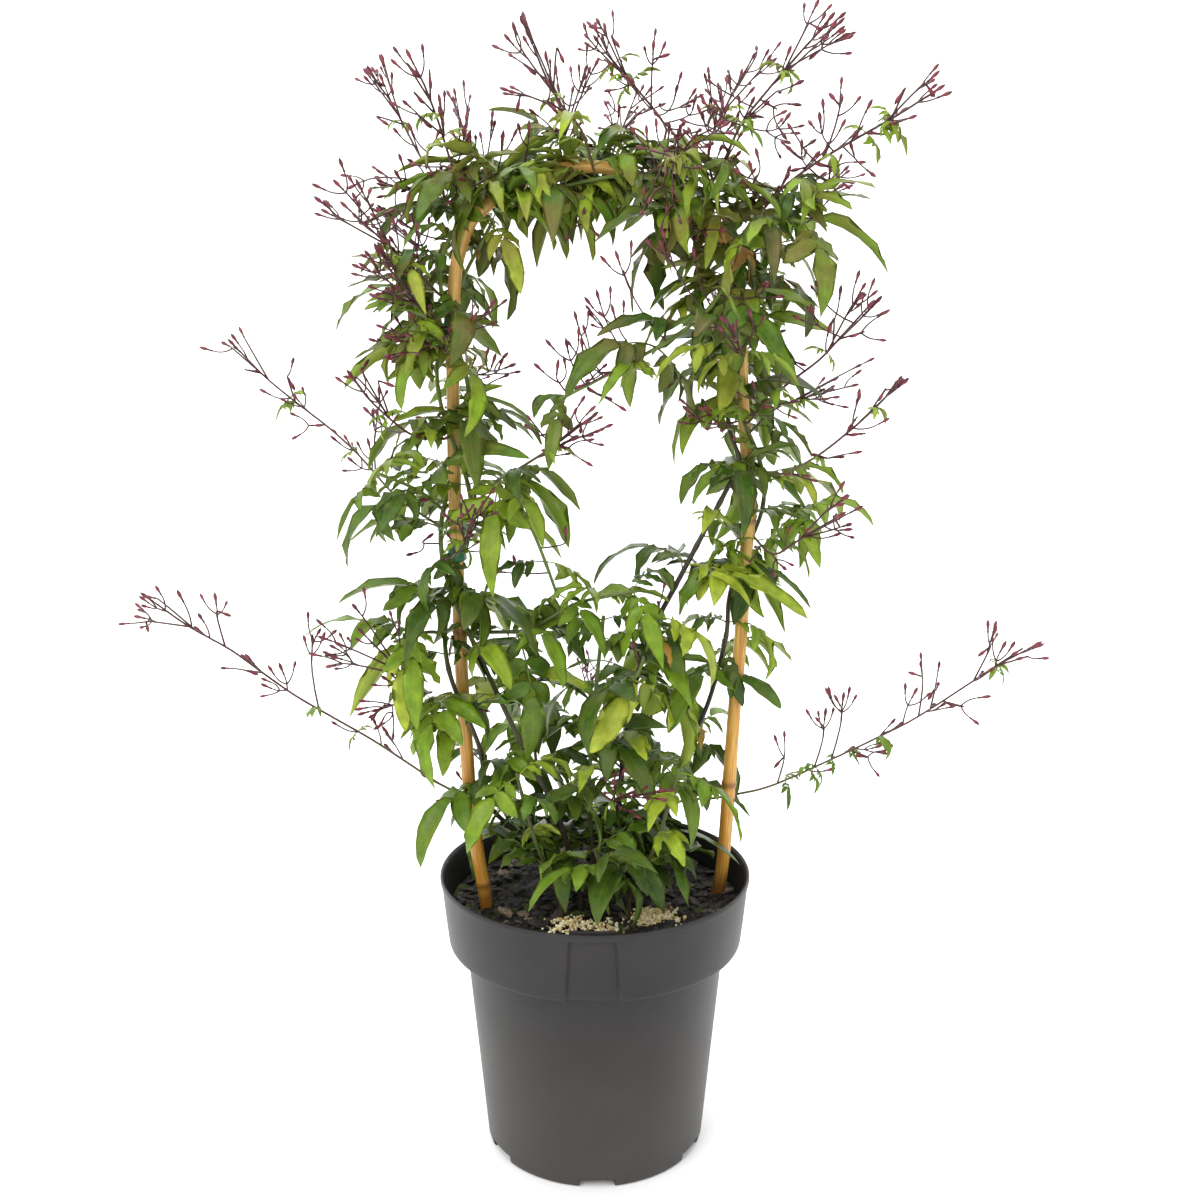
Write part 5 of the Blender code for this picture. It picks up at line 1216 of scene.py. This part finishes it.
# %% Routes of the flowering shoots
SPRAYS = {
    "left_low": (
        [(-45, 26, 232), (-70, 18, 242), (-95, 12, 254), (-110, 5, 264), (-155, -5, 300),
         (-205, -15, 335), (-245, -25, 370), (-270, -30, 387), (-290, -30, 402)],
        [(-310, -25, 390), (-295, -40, 415), (-255, -15, 405), (-235, -45, 360), (-185, -30, 388)],
    ),
    "left_second": (
        [(-96, -18, 302), (-114, -34, 334), (-130, -50, 364), (-145, -60, 385)],
        [(-155, -65, 412), (-125, -70, 402), (-175, -75, 392), (-180, -45, 366), (-150, -60, 336)],
    ),
    "left_upper": (
        [(-97, 8, 438), (-120, 20, 455), (-140, 35, 466), (-165, 45, 492), (-185, 50, 510),
         (-210, 50, 530), (-230, 50, 547), (-246, 50, 564)],
        [(-260, 45, 575), (-250, 60, 582), (-250, 40, 553), (-213, 40, 557), (-210, 60, 510), (-150, 40, 522)],
    ),
    "left_mid": (
        [(-96, -18, 494), (-116, -40, 515), (-138, -55, 536), (-146, -60, 548)],
        [(-152, -68, 560), (-150, -50, 566), (-134, -70, 560)],
    ),
    "left_fore": (
        [(-92, -20, 553), (-100, -50, 572), (-114, -70, 575)],
        [(-126, -76, 582), (-114, -60, 584), (-126, -88, 567)],
    ),
    "shoulder_left": (
        [(-94, -18, 593), (-106, -36, 612), (-126, -50, 632), (-145, -56, 650)],
        [(-166, -60, 656), (-157, -62, 672), (-143, -45, 670), (-134, -75, 642)],
    ),
    "shoulder_left_back": (
        [(-95, 12, 618), (-114, 30, 630), (-130, 45, 643)],
        [(-154, 50, 658), (-146, 34, 662), (-120, 50, 656)],
    ),
    "shoulder_left_fore": (
        [(-90, -20, 570), (-104, -46, 590), (-120, -70, 614)],
        [(-136, -80, 624), (-130, -64, 632), (-130, -92, 606)],
    ),
    "top_left": (
        [(-92, 6, 640), (-97, 14, 660), (-102, 20, 675), (-115, 30, 692), (-125, 35, 710),
         (-135, 40, 728), (-144, 41, 740)],
        [(-152, 42, 750), (-139, 32, 752), (-155, 46, 720), (-168, 50, 676), (-108, 20, 702)],
    ),
    "top_left_fore": (
        [(-76, -18, 655), (-82, -32, 670), (-95, -50, 708), (-101, -58, 725), (-105, -60, 733)],
        [(-116, -62, 746), (-98, -52, 744), (-112, -72, 725), (-114, -56, 714), (-92, -40, 722)],
    ),
    "top_left_back": (
        [(-60, 14, 670), (-74, 40, 686), (-88, 60, 706), (-94, 70, 725)],
        [(-101, 76, 741), (-86, 70, 738), (-90, 86, 717)],
    ),
    "top_mid_left": (
        [(-2, -14, 688), (-8, -25, 703), (-20, -30, 717), (-29, -35, 732), (-36, -38, 748)],
        [(-52, -46, 762), (-44, -34, 768), (-20, -46, 758), (-52, -26, 746), (-34, -55, 720), (-55, -36, 726)],
    ),
    "top_mid_back": (
        [(-20, 14, 688), (-20, 35, 706), (-16, 50, 730)],
        [(-26, 52, 752), (-5, 45, 752), (2, 60, 758)],
    ),
    "top_mid": (
        [(34, 14, 680), (36, 20, 693), (47, 20, 708), (25, 25, 737), (12, 29, 752), (5, 30, 764)],
        [(0, 30, 781), (-11, 35, 776), (7, 20, 776), (40, 20, 762), (0, 46, 760)],
    ),
    "top_right": (
        [(68, -14, 662), (80, -20, 682), (91, -25, 706), (106, -30, 725), (120, -35, 741), (130, -38, 752)],
        [(135, -40, 772), (146, -35, 770), (146, -50, 762), (148, -30, 754), (115, -60, 726)],
    ),
    "top_right_back": (
        [(66, 16, 668), (76, 40, 697), (90, 55, 730), (103, 62, 753)],
        [(114, 65, 770), (121, 70, 762), (75, 50, 742), (84, 68, 750)],
    ),
    "right_high": (
        [(92, -18, 626), (102, -26, 650), (115, -35, 666), (136, -45, 682), (160, -55, 696),
         (180, -61, 707), (196, -65, 717)],
        [(202, -70, 732), (212, -60, 726), (186, -68, 732), (186, -80, 702), (183, -60, 695),
         (150, -40, 726), (162, -72, 706)],
    ),
    "right_high_back": (
        [(100, 14, 614), (116, 35, 638), (140, 50, 660), (153, 55, 671)],
        [(175, 60, 690), (171, 50, 677), (158, 70, 688)],
    ),
    "right_upper": (
        [(102, -18, 520), (111, -26, 535), (125, -31, 548), (143, -38, 563), (155, -42, 577), (166, -45, 590)],
        [(166, -50, 607), (181, -40, 602), (146, -56, 597), (176, -56, 582)],
    ),
    "right_upper_back": (
        [(106, 14, 514), (126, 40, 526), (141, 50, 531), (162, 60, 541)],
        [(190, 65, 556), (186, 54, 542), (166, 76, 532)],
    ),
    "right_middle": (
        [(108, -16, 468), (124, -20, 488), (145, -25, 500), (165, -30, 517), (180, -34, 532), (188, -35, 541)],
        [(191, -40, 553), (201, -30, 552), (175, -18, 532), (180, -46, 516), (156, -36, 498), (141, -10, 486)],
    ),
    "right_lower": (
        [(108, -18, 422), (118, -30, 436), (132, -45, 448), (150, -60, 463)],
        [(156, -66, 480), (171, -55, 472), (162, -72, 464), (136, -76, 465)],
    ),
    "right_low": (
        [(50, 26, 240), (66, 38, 240), (84, 40, 240), (105, 34, 246), (130, 26, 256), (175, 15, 282),
         (225, 0, 315), (260, -10, 344), (272, -15, 355), (290, -19, 367)],
        [(297, -22, 376), (305, -15, 366), (275, -5, 377), (262, -15, 322), (225, 0, 355),
         (231, -16, 347), (175, 20, 327), (160, 5, 316), (196, -10, 284), (136, 24, 288)],
    ),
    "fore_left": (
        [(-88, -20, 430), (-84, -50, 446), (-78, -76, 462)],
        [(-84, -94, 474), (-70, -90, 476), (-68, -76, 480)],
    ),
    "fore_right": (
        [(46, -14, 672), (50, -50, 684), (56, -78, 690)],
        [(50, -96, 701), (64, -96, 699), (70, -84, 695)],
    ),
    "fore_right_low": (
        [(100, -20, 558), (92, -50, 566), (84, -76, 580)],
        [(78, -94, 590), (95, -90, 593), (66, -80, 593)],
    ),
    "back_left": (
        [(-90, 16, 520), (-90, 58, 544), (-94, 96, 566), (-98, 122, 582)],
        [(-104, 138, 594), (-90, 136, 594), (-112, 112, 580)],
    ),
    "back_right": (
        [(101, 20, 552), (98, 66, 566), (92, 102, 586), (88, 124, 602)],
        [(82, 138, 616), (94, 138, 612), (104, 114, 600)],
    ),
    "back_top": (
        [(10, 14, 688), (16, 50, 706), (22, 82, 722)],
        [(18, 100, 736), (32, 98, 732), (30, 84, 742)],
    ),
    "back_low": (
        [(14, 44, 240), (10, 78, 262), (0, 110, 286), (-6, 134, 306)],
        [(-12, 148, 318), (2, 146, 318), (-16, 126, 308)],
    ),
    "mound_bud": (
        [(6, -22, 262), (12, -50, 272), (22, -76, 286)],
        [(30, -92, 296), (14, -90, 298), (38, -84, 290)],
    ),
    "window_bud": (
        [(-54, -36, 490), (-30, -46, 506), (-12, -54, 520)],
        [(0, -60, 530), (-16, -60, 536), (4, -52, 520)],
    ),
}
print("flowering shoots:", len(SPRAYS), "with", sum(len(tips) for _, tips in SPRAYS.values()), "outer stalks")

# %% Stalks and clusters of buds
BUD_LENGTH = 10.5 * MM


def cross_of(direction):
    """A unit vector square to a direction."""
    helper = np.where(np.abs(direction[..., 2:]) < 0.8, UP, np.array([1.0, 0, 0]))
    return unit(np.cross(direction, helper))


def arc_point(path, t):
    """p = (1-t)^2 a + 2t(1-t) k + t^2 c with k = 2b - (a + c)/2, and the heading there."""
    a, b, c = path
    k = 2 * b - 0.5 * (a + c)
    point = (1 - t) ** 2 * a + 2 * t * (1 - t) * k + t**2 * c
    return point, unit((1 - t) * (k - a) + t * (c - k))


def twig(foot, first, last, length):
    """A short stalk that leaves one way and ends another way: the arc through foot,
    foot + L (0.375 first + 0.125 last) at its middle, and foot + L (first + last) / 2."""
    return foot + length * np.stack([0 * first, 0.375 * first + 0.125 * last, 0.5 * (first + last)])


def cluster(path, draw, stalks, buds, pairs, size=1.0, gaps=0.08):
    """A bud at a stalk's end and pairs of side stalks below it, each pair crosswise to the last.
    A side stalk leaves at a wide angle, bends up along the stalk and bears a bud or a fork; a
    share of them, gaps, is left out."""
    end, heading = arc_point(path, 1.0)
    buds.append((end, heading, size * draw.uniform(0.9, 1.12)))
    length = float(np.linalg.norm(path[1] - path[0]) + np.linalg.norm(path[2] - path[1]))
    side = cross_of(heading)
    other = np.cross(heading, side)
    spin = draw.uniform(0, math.tau)
    for k in range(pairs):
        below = (draw.uniform(4, 8) + 12 * k) * MM
        if k and below > 0.85 * length:
            break
        foot, along = arc_point(path, 1 - min(below, 0.6 * length) / length)
        for half in (0, 1):
            if draw.random() < gaps + 0.1 * k:
                continue
            angle = spin + math.pi * half + 0.5 * math.pi * k + draw.uniform(-0.3, 0.3)
            out = math.cos(angle) * side + math.sin(angle) * other
            reach = draw.uniform(8.5, 14.5) * MM * (1 + 0.35 * k) * size
            branch = twig(foot, unit(0.6 * along + out), unit(along + 0.42 * out), reach)
            stalks.append((branch, 0.6 * MM))
            if k and draw.random() < 0.5:
                cluster(branch, draw, stalks, buds, 1, 0.9 * size)
            else:
                buds.append((*arc_point(branch, 1.0), size * draw.uniform(0.72, 1.0)))


def spray_parts(name, carriers):
    """The stem, the stalks, the buds and the marks of young leaves of a flowering shoot."""
    own, tips = SPRAYS[name]
    draw = random.Random("spray " + name)
    stem_route = Route(seated(own, carriers, SPRAY_STEP), 1.0 * MM, 0.7 * MM)
    stalks, buds, young = [], [], []
    end, along = stem_route.at(stem_route.length)
    last = np.stack([end - along * 16 * MM, end - along * 8 * MM, end + along * 0.25 * BUD_LENGTH])
    stalks.append((np.stack([end, 0.5 * (end + last[2]), last[2]]), 0.7 * MM))
    cluster(last, draw, stalks, buds, 1, gaps=0.3)
    for tip in tips:
        tip = np.array(tip) * MM
        near = stem_route.nearest(tip)
        distance = float(np.linalg.norm(tip - stem_route.at(near)[0]))
        mark = min(near, stem_route.length - 4 * MM) - 0.75 * distance
        if np.linalg.norm(tip - end) < 42 * MM:
            mark -= draw.uniform(0, 14) * MM
        mark = max(6 * MM, mark)
        foot, along = stem_route.at(mark)
        reach = tip - foot
        size = float(np.linalg.norm(reach))
        side = unit(reach - along * (reach @ along))
        bend = foot + reach * 0.45 + along * 0.10 * size + side * 0.04 * size
        head = unit(tip - bend)
        path = np.stack([foot, bend, tip - head * BUD_LENGTH])
        stalks.append((path, 0.7 * MM))
        if np.linalg.norm(tip - end) < 42 * MM:
            cluster(path, draw, stalks, buds, 1 if draw.random() < 0.6 else 0, gaps=0.4)
        else:
            cluster(path, draw, stalks, buds, 2 if draw.random() < 0.25 else 1)
        if size > 34 * MM and draw.random() < 0.7:
            point, heading = arc_point(path, 0.5)
            out = cross_of(heading) * draw.choice((-1, 1))
            branch = twig(point, unit(heading + 0.9 * out), unit(heading + 0.3 * out), draw.uniform(9, 16) * MM)
            stalks.append((branch, 0.62 * MM))
            cluster(branch, draw, stalks, buds, 1, 0.95)
        if draw.random() < 0.3:
            young.append((stem_route, mark, draw.uniform(14, 24) * MM))
    for number, mark in enumerate(np.arange(26 * MM, stem_route.length - 8 * MM, 19 * MM)):
        foot, along = stem_route.at(float(mark))
        side = cross_of(along)
        other = np.cross(along, side)
        for half in (0, 1):
            angle = 0.5 * math.pi * number + math.pi * half + draw.uniform(-0.4, 0.4)
            out = math.cos(angle) * side + math.sin(angle) * other
            length = draw.uniform(8, 20) * MM
            if draw.random() < 0.36:
                path = twig(foot, unit(out + 0.7 * along), unit(0.5 * out + along + 0.3 * UP), length)
                stalks.append((path, 0.62 * MM))
                cluster(path, draw, stalks, buds, 1 if draw.random() < 0.7 else 0, 0.9)
        if draw.random() < 0.2:
            young.append((stem_route, float(mark), draw.uniform(14, 26) * MM))
    return stem_route, stalks, buds, young


carriers = list(routes.values())
spray_made = {name: spray_parts(name, carriers) for name in SPRAYS}
print("buds:", sum(len(made[2]) for made in spray_made.values()))


# %% [markdown]
# Between these shoots the real crown is full of short twigs with two or three buds each. They
# are the scene's own. The list holds the ends of the twigs, as seen from the front; each one
# starts at the nearest stem that leaves it room to bend.

# %% Ends of the short twigs, in millimetres
TWIGS_LEFT = [
    (-101, -30, 688), (-84, 20, 706), (-128, -20, 677), (-117, 10, 684), (-55, -30, 702), (-148, -20, 657),
    (-134, -40, 655), (-123, -10, 650), (-115, -45, 640), (-142, -20, 630), (-132, -50, 624), (-134, -40, 603),
    (-135, -20, 579), (-125, -45, 575), (-140, 0, 565), (-138, -30, 544), (-146, -10, 526), (-69, -50, 588),
    (-59, -45, 597), (-59, -40, 562), (-53, -30, 560), (-61, -20, 550), (-28, -45, 562), (-20, -40, 576),
    (-10, -45, 577), (-39, -45, 525), (-25, -50, 523), (-17, -45, 513), (-60, -40, 432), (-84, -40, 336),
    (-76, -30, 690), (-110, -50, 664), (-92, -45, 672), (-66, 20, 716), (-40, -20, 708), (-34, 24, 716),
    (-118, 20, 612), (-112, 24, 520), (-128, -30, 470), (-122, -24, 448), (-72, -40, 470), (-104, -48, 520),
]
TWIGS_RIGHT = [
    (-5, -45, 559), (3, -40, 557), (12, -30, 539), (-7, -50, 511), (9, -30, 597), (-14, -25, 593), (12, -35, 630),
    (24, -45, 652), (39, -45, 661), (48, -50, 648), (58, -45, 646), (40, -55, 642), (60, -50, 631), (-5, -30, 640),
    (0, -30, 606), (78, -20, 734), (71, 10, 725), (53, -20, 729), (59, -35, 714), (49, -20, 707), (79, 10, 713),
    (71, -40, 717), (114, -20, 715), (120, -40, 714), (127, 0, 712), (137, -30, 711), (143, -50, 704),
    (122, -50, 699), (128, -20, 695), (135, -45, 688), (166, -30, 688), (155, -50, 680), (154, -20, 674),
    (144, -40, 663), (90, -50, 681), (139, -20, 611), (114, -40, 608), (131, -40, 595), (121, -30, 570),
    (55, -40, 530), (69, -40, 525), (88, -30, 700), (98, 20, 716), (64, 24, 700), (30, -30, 706), (16, 26, 716),
    (36, -44, 694), (104, -44, 670), (112, 26, 676), (132, 24, 640), (126, -30, 536), (124, 26, 580),
    (43, -30, 412), (-10, -40, 452), (30, -40, 378),
]


def side_twig(tip, stem_points):
    """From the nearest stem point 18 mm or more off: foot, a sag of 0.12 of the way, and the tip."""
    away = np.linalg.norm(stem_points - tip, axis=1)
    cost = away + 0.5 * np.maximum(0, stem_points[:, 2] - tip[2] + 8 * MM) + (away < 18 * MM)
    foot = stem_points[np.argmin(cost)]
    reach = tip - foot
    bend = foot + 0.5 * reach - 0.12 * UP * np.linalg.norm(reach)
    return np.stack([foot, bend, tip - unit(tip - bend) * BUD_LENGTH])


twigs_made = {}
stem_points = np.concatenate(
    [route.fine(6 * MM).points for route in routes.values()]
    + [made[0].fine(6 * MM).points for made in spray_made.values()]
)
for side, tips in (("buds_left_shoulder", TWIGS_LEFT), ("buds_crown", TWIGS_RIGHT)):
    draw = random.Random("twigs " + side)
    stalks, buds = [], []
    for tip in tips:
        path = side_twig(np.array(tip) * MM, stem_points)
        stalks.append((path, 0.62 * MM))
        cluster(path, draw, stalks, buds, 2 if np.linalg.norm(path[2] - path[0]) > 34 * MM else 1, gaps=0.2)
    twigs_made[side] = (stalks, buds)
    print("short twigs:", len(tips), "with", len(buds), "buds")


# %% Shape of stalks and buds
def bent(paths, count=6):
    """Three-point paths read as arcs: p(t) = (1-t)^2 a + 2t(1-t) b' + t^2 c, through b at t 1/2."""
    a, b, c = paths[:, 0], paths[:, 1], paths[:, 2]
    control = 2 * b - 0.5 * (a + c)
    t = np.linspace(0, 1, count)[None, :, None]
    return (1 - t) ** 2 * a[:, None] + 2 * t * (1 - t) * control[:, None] + t**2 * c[:, None]


BUD_STATIONS = np.array([0.0, 0.03, 0.16, 0.24, 0.42, 0.62, 0.8, 0.93, 1.0])
BUD_WIDTHS = np.array([0.0, 0.42, 0.62, 0.48, 0.62, 1.0, 0.82, 0.4, 0.0]) * 1.35 * MM


def bud_patches(buds):
    """A spindle: radius r(s) round the line foot + s L d, thin above the calyx and fat past half."""
    foot = np.array([b[0] for b in buds])
    direction = np.array([b[1] for b in buds])
    size = np.array([b[2] for b in buds])
    side = cross_of(direction)
    other = np.cross(direction, side)
    angle = 2 * np.pi * np.arange(6) / 6
    spoke = np.cos(angle)[:, None] * side[:, None] + np.sin(angle)[:, None] * other[:, None]
    line = foot[:, None] + (size[:, None] * BUD_STATIONS * BUD_LENGTH)[..., None] * direction[:, None]
    grid = line[:, :, None] + (BUD_WIDTHS * size[:, None] ** 0.5)[..., None, None] * spoke[:, None]
    tint = np.array([random.Random("bud %d" % i).random() for i in range(len(buds))])
    return grid, {"ripe": BUD_STATIONS[None, :, None], "tint": tint[:, None, None], "bud": 1.0}


# %% Finish of the flowering shoots
# Thin skin full of red pigment: crimson buds on maroon stalks, bronze-green at the shoot's foot
flower, flower_shader = new_finish("jasmine_bud", 0.42, IOR=1.45)
ripe, is_bud = attribute(flower, "ripe"), attribute(flower, "bud")
bud_colour = ramp(flower, ripe, [
    (0.0, "3a1719"), (0.18, "441a1e"), (0.3, "5c2229"), (0.6, "7e2d3b"), (0.85, "5a1f2a"), (1.0, "35141a"),
])
stalk_colour = ramp(flower, ripe, [
    (0.0, "5e682b"), (0.35, "574a2a"), (0.65, "4a2625"), (1.0, "3d171c"),
])
shoot_colour = mix(flower, is_bud, stalk_colour, bud_colour)
bud_shade = ramp(flower, attribute(flower, "tint"), [(0.0, "8c8284"), (0.5, "e0d8d8"), (1.0, "ffffff")])
feed(flower, flower_shader, Base_Color=add(
    flower, "ShaderNodeMix", [("data_type", "RGBA"), ("blend_type", "MULTIPLY"), (0, 0.8)],
    [(6, shoot_colour), (7, bud_shade)],
).outputs[2])

# %% Flowering shoots as pieces
BUD_REGIONS = {
    "buds_left_side": ["left_low", "left_second", "left_upper", "left_mid", "left_fore", "fore_left", "back_left"],
    "buds_left_shoulder": ["shoulder_left", "shoulder_left_back", "shoulder_left_fore", "top_left",
                           "top_left_fore", "top_left_back"],
    "buds_crown": ["top_mid_left", "top_mid_back", "top_mid", "top_right", "top_right_back", "fore_right", "back_top"],
    "buds_right_side": ["right_high", "right_high_back", "right_upper", "right_upper_back", "right_middle",
                        "right_lower", "fore_right_low", "back_right"],
    "buds_low": ["right_low", "back_low", "mound_bud", "window_bud"],
}
for region, names in BUD_REGIONS.items():
    patches = []
    stalks, buds = twigs_made.get(region, ([], []))
    for name in names:
        stem_route, own_stalks, own_buds, _ = spray_made[name]
        fine = stem_route.fine(6 * MM)
        grid = tubes(fine.points[None], fine.radius(fine.marks)[None], 6, np.array([0.2, 0.9, 0.3]))
        start = 0.3 if fine.points[0, 2] > 0.5 else 0.0
        share = np.concatenate([[start], start + (1 - start) * fine.marks / fine.length, [1]])[None, :, None]
        patches.append((grid, {"ripe": share, "tint": 0.8, "bud": 0.0}))
        stalks += own_stalks
        buds += own_buds
    paths = bent(np.array([path for path, _ in stalks]))
    thick = np.array([radius for _, radius in stalks])[:, None] * np.linspace(1, 0.8, paths.shape[1])
    reference = cross_of(unit(paths[:, -1] - paths[:, 0]))[:, None]
    patches.append((tubes(paths, thick, 5, reference), {"ripe": 0.85, "tint": 0.8, "bud": 0.0}))
    patches.append(bud_patches(buds))
    show(region, skin(region, patches), flower, "flowering_shoot", *["buds_" + name for name in names])

# %% [markdown]
# ### Leaves on the flowering shoots
#
# Round the crown, each flowering shoot carries a few full leaves at its foot, which hide most of
# the hoop's bend. Where the stalks fork, small leaves with narrow leaflets are still unfolding.
# They are yellow-green or bronze, so they get high numbers on the leaves' colour ramp.

# %% Leaves at the foot of the shoots, and young leaves at their forks
foot_poses, young_poses = [], []
for name, (route, _, _, young) in spray_made.items():
    high = route.points[0][2] > 0.55
    if name not in ("left_low", "right_low", "back_low"):
        marks = np.array([8, 22, 38] if high else [12]) * MM
        sizes = np.array([72, 60, 46] if high else [56]) * MM
        foot_poses += extra_leaves(route, name + " foot", marks, sizes)
    for number, (_, mark, size) in enumerate(young):
        for side in (0, 1):
            pose = leaf_pose(route, mark, name + " young", number, side, 0, size)
            pose["tint"] = 0.5 + 0.34 * pose["tint"]
            young_poses.append(pose)
show("crown_leaves", skin("crown_leaves", leaf_patches(foot_poses, 80)), leafy, "foliage")
show("young_leaves", skin("young_leaves", leaf_patches(young_poses, 90, stations=6)), leafy, "foliage")

# %% [markdown]
# ## Floor, light and camera
#
# The plant stands in a white photo booth: a pale floor that curves up behind it, and broad soft
# light from above and from both sides. The camera stands about a metre away, a little above the
# middle, and looks down by 12 degrees.


# %% Booth
def booth():
    """A sheet that is flat to y = 1.6 m, turns up round a quarter circle and then stands."""
    y = np.concatenate([np.linspace(-2.5, 1.6, 12), 1.6 + 0.8 * np.sin(np.linspace(0.1, np.pi / 2, 16)), [2.4]])
    z = np.concatenate([np.zeros(12), 0.8 - 0.8 * np.cos(np.linspace(0.1, np.pi / 2, 16)), [3.6]])
    x = np.linspace(-4, 4, 9)
    grid = np.stack(np.broadcast_arrays(x[None], y[:, None], z[:, None]), -1)
    return skin("booth", [(grid[None], {})], closed=False)


booth_piece = bpy.data.objects.new("booth", booth())
bpy.context.scene.collection.objects.link(booth_piece)
paper, paper_shader = new_finish("white_paper_booth", 0.9)
paper_shader.inputs["Base Color"].default_value = linear("f7f7f7")
booth_piece.data.materials.append(paper)


def softbox(name, place, target, size, power):
    """A square area light that faces a target."""
    lamp = bpy.data.lights.new(name, "AREA")
    lamp.shape = "SQUARE"
    lamp.size = size
    lamp.energy = power
    piece = bpy.data.objects.new(name, lamp)
    bpy.context.scene.collection.objects.link(piece)
    piece.location = place
    piece.rotation_euler = (Vector(target) - Vector(place)).to_track_quat("-Z", "Y").to_euler()


softbox("key", (-1.3, -1.6, 1.7), (0, 0, 0.4), 1.5, 38)
softbox("fill", (1.5, -1.5, 1.0), (0, 0, 0.4), 1.4, 10)
softbox("top", (0, 0.3, 2.4), (0, 0, 0.4), 2.0, 20)
softbox("backdrop", (0, 0.9, 2.2), (0, 2.4, 0.6), 2.0, 40)
world = bpy.data.worlds.new("booth_air")
bpy.context.scene.world = world
world.use_nodes = True
world.node_tree.nodes["Background"].inputs[0].default_value = (1, 1, 1, 1)
world.node_tree.nodes["Background"].inputs[1].default_value = 1.0
bpy.context.scene.view_settings.view_transform = "Standard"

# %% Camera
camera_data = bpy.data.cameras.new("camera")
camera_data.lens = 42.0
camera_data.sensor_width = 36.0
camera = bpy.data.objects.new("camera", camera_data)
bpy.context.scene.collection.objects.link(camera)
camera.location = EYE
camera.rotation_euler = (math.pi / 2 - 0.2145, 0, 0)
bpy.context.scene.camera = camera
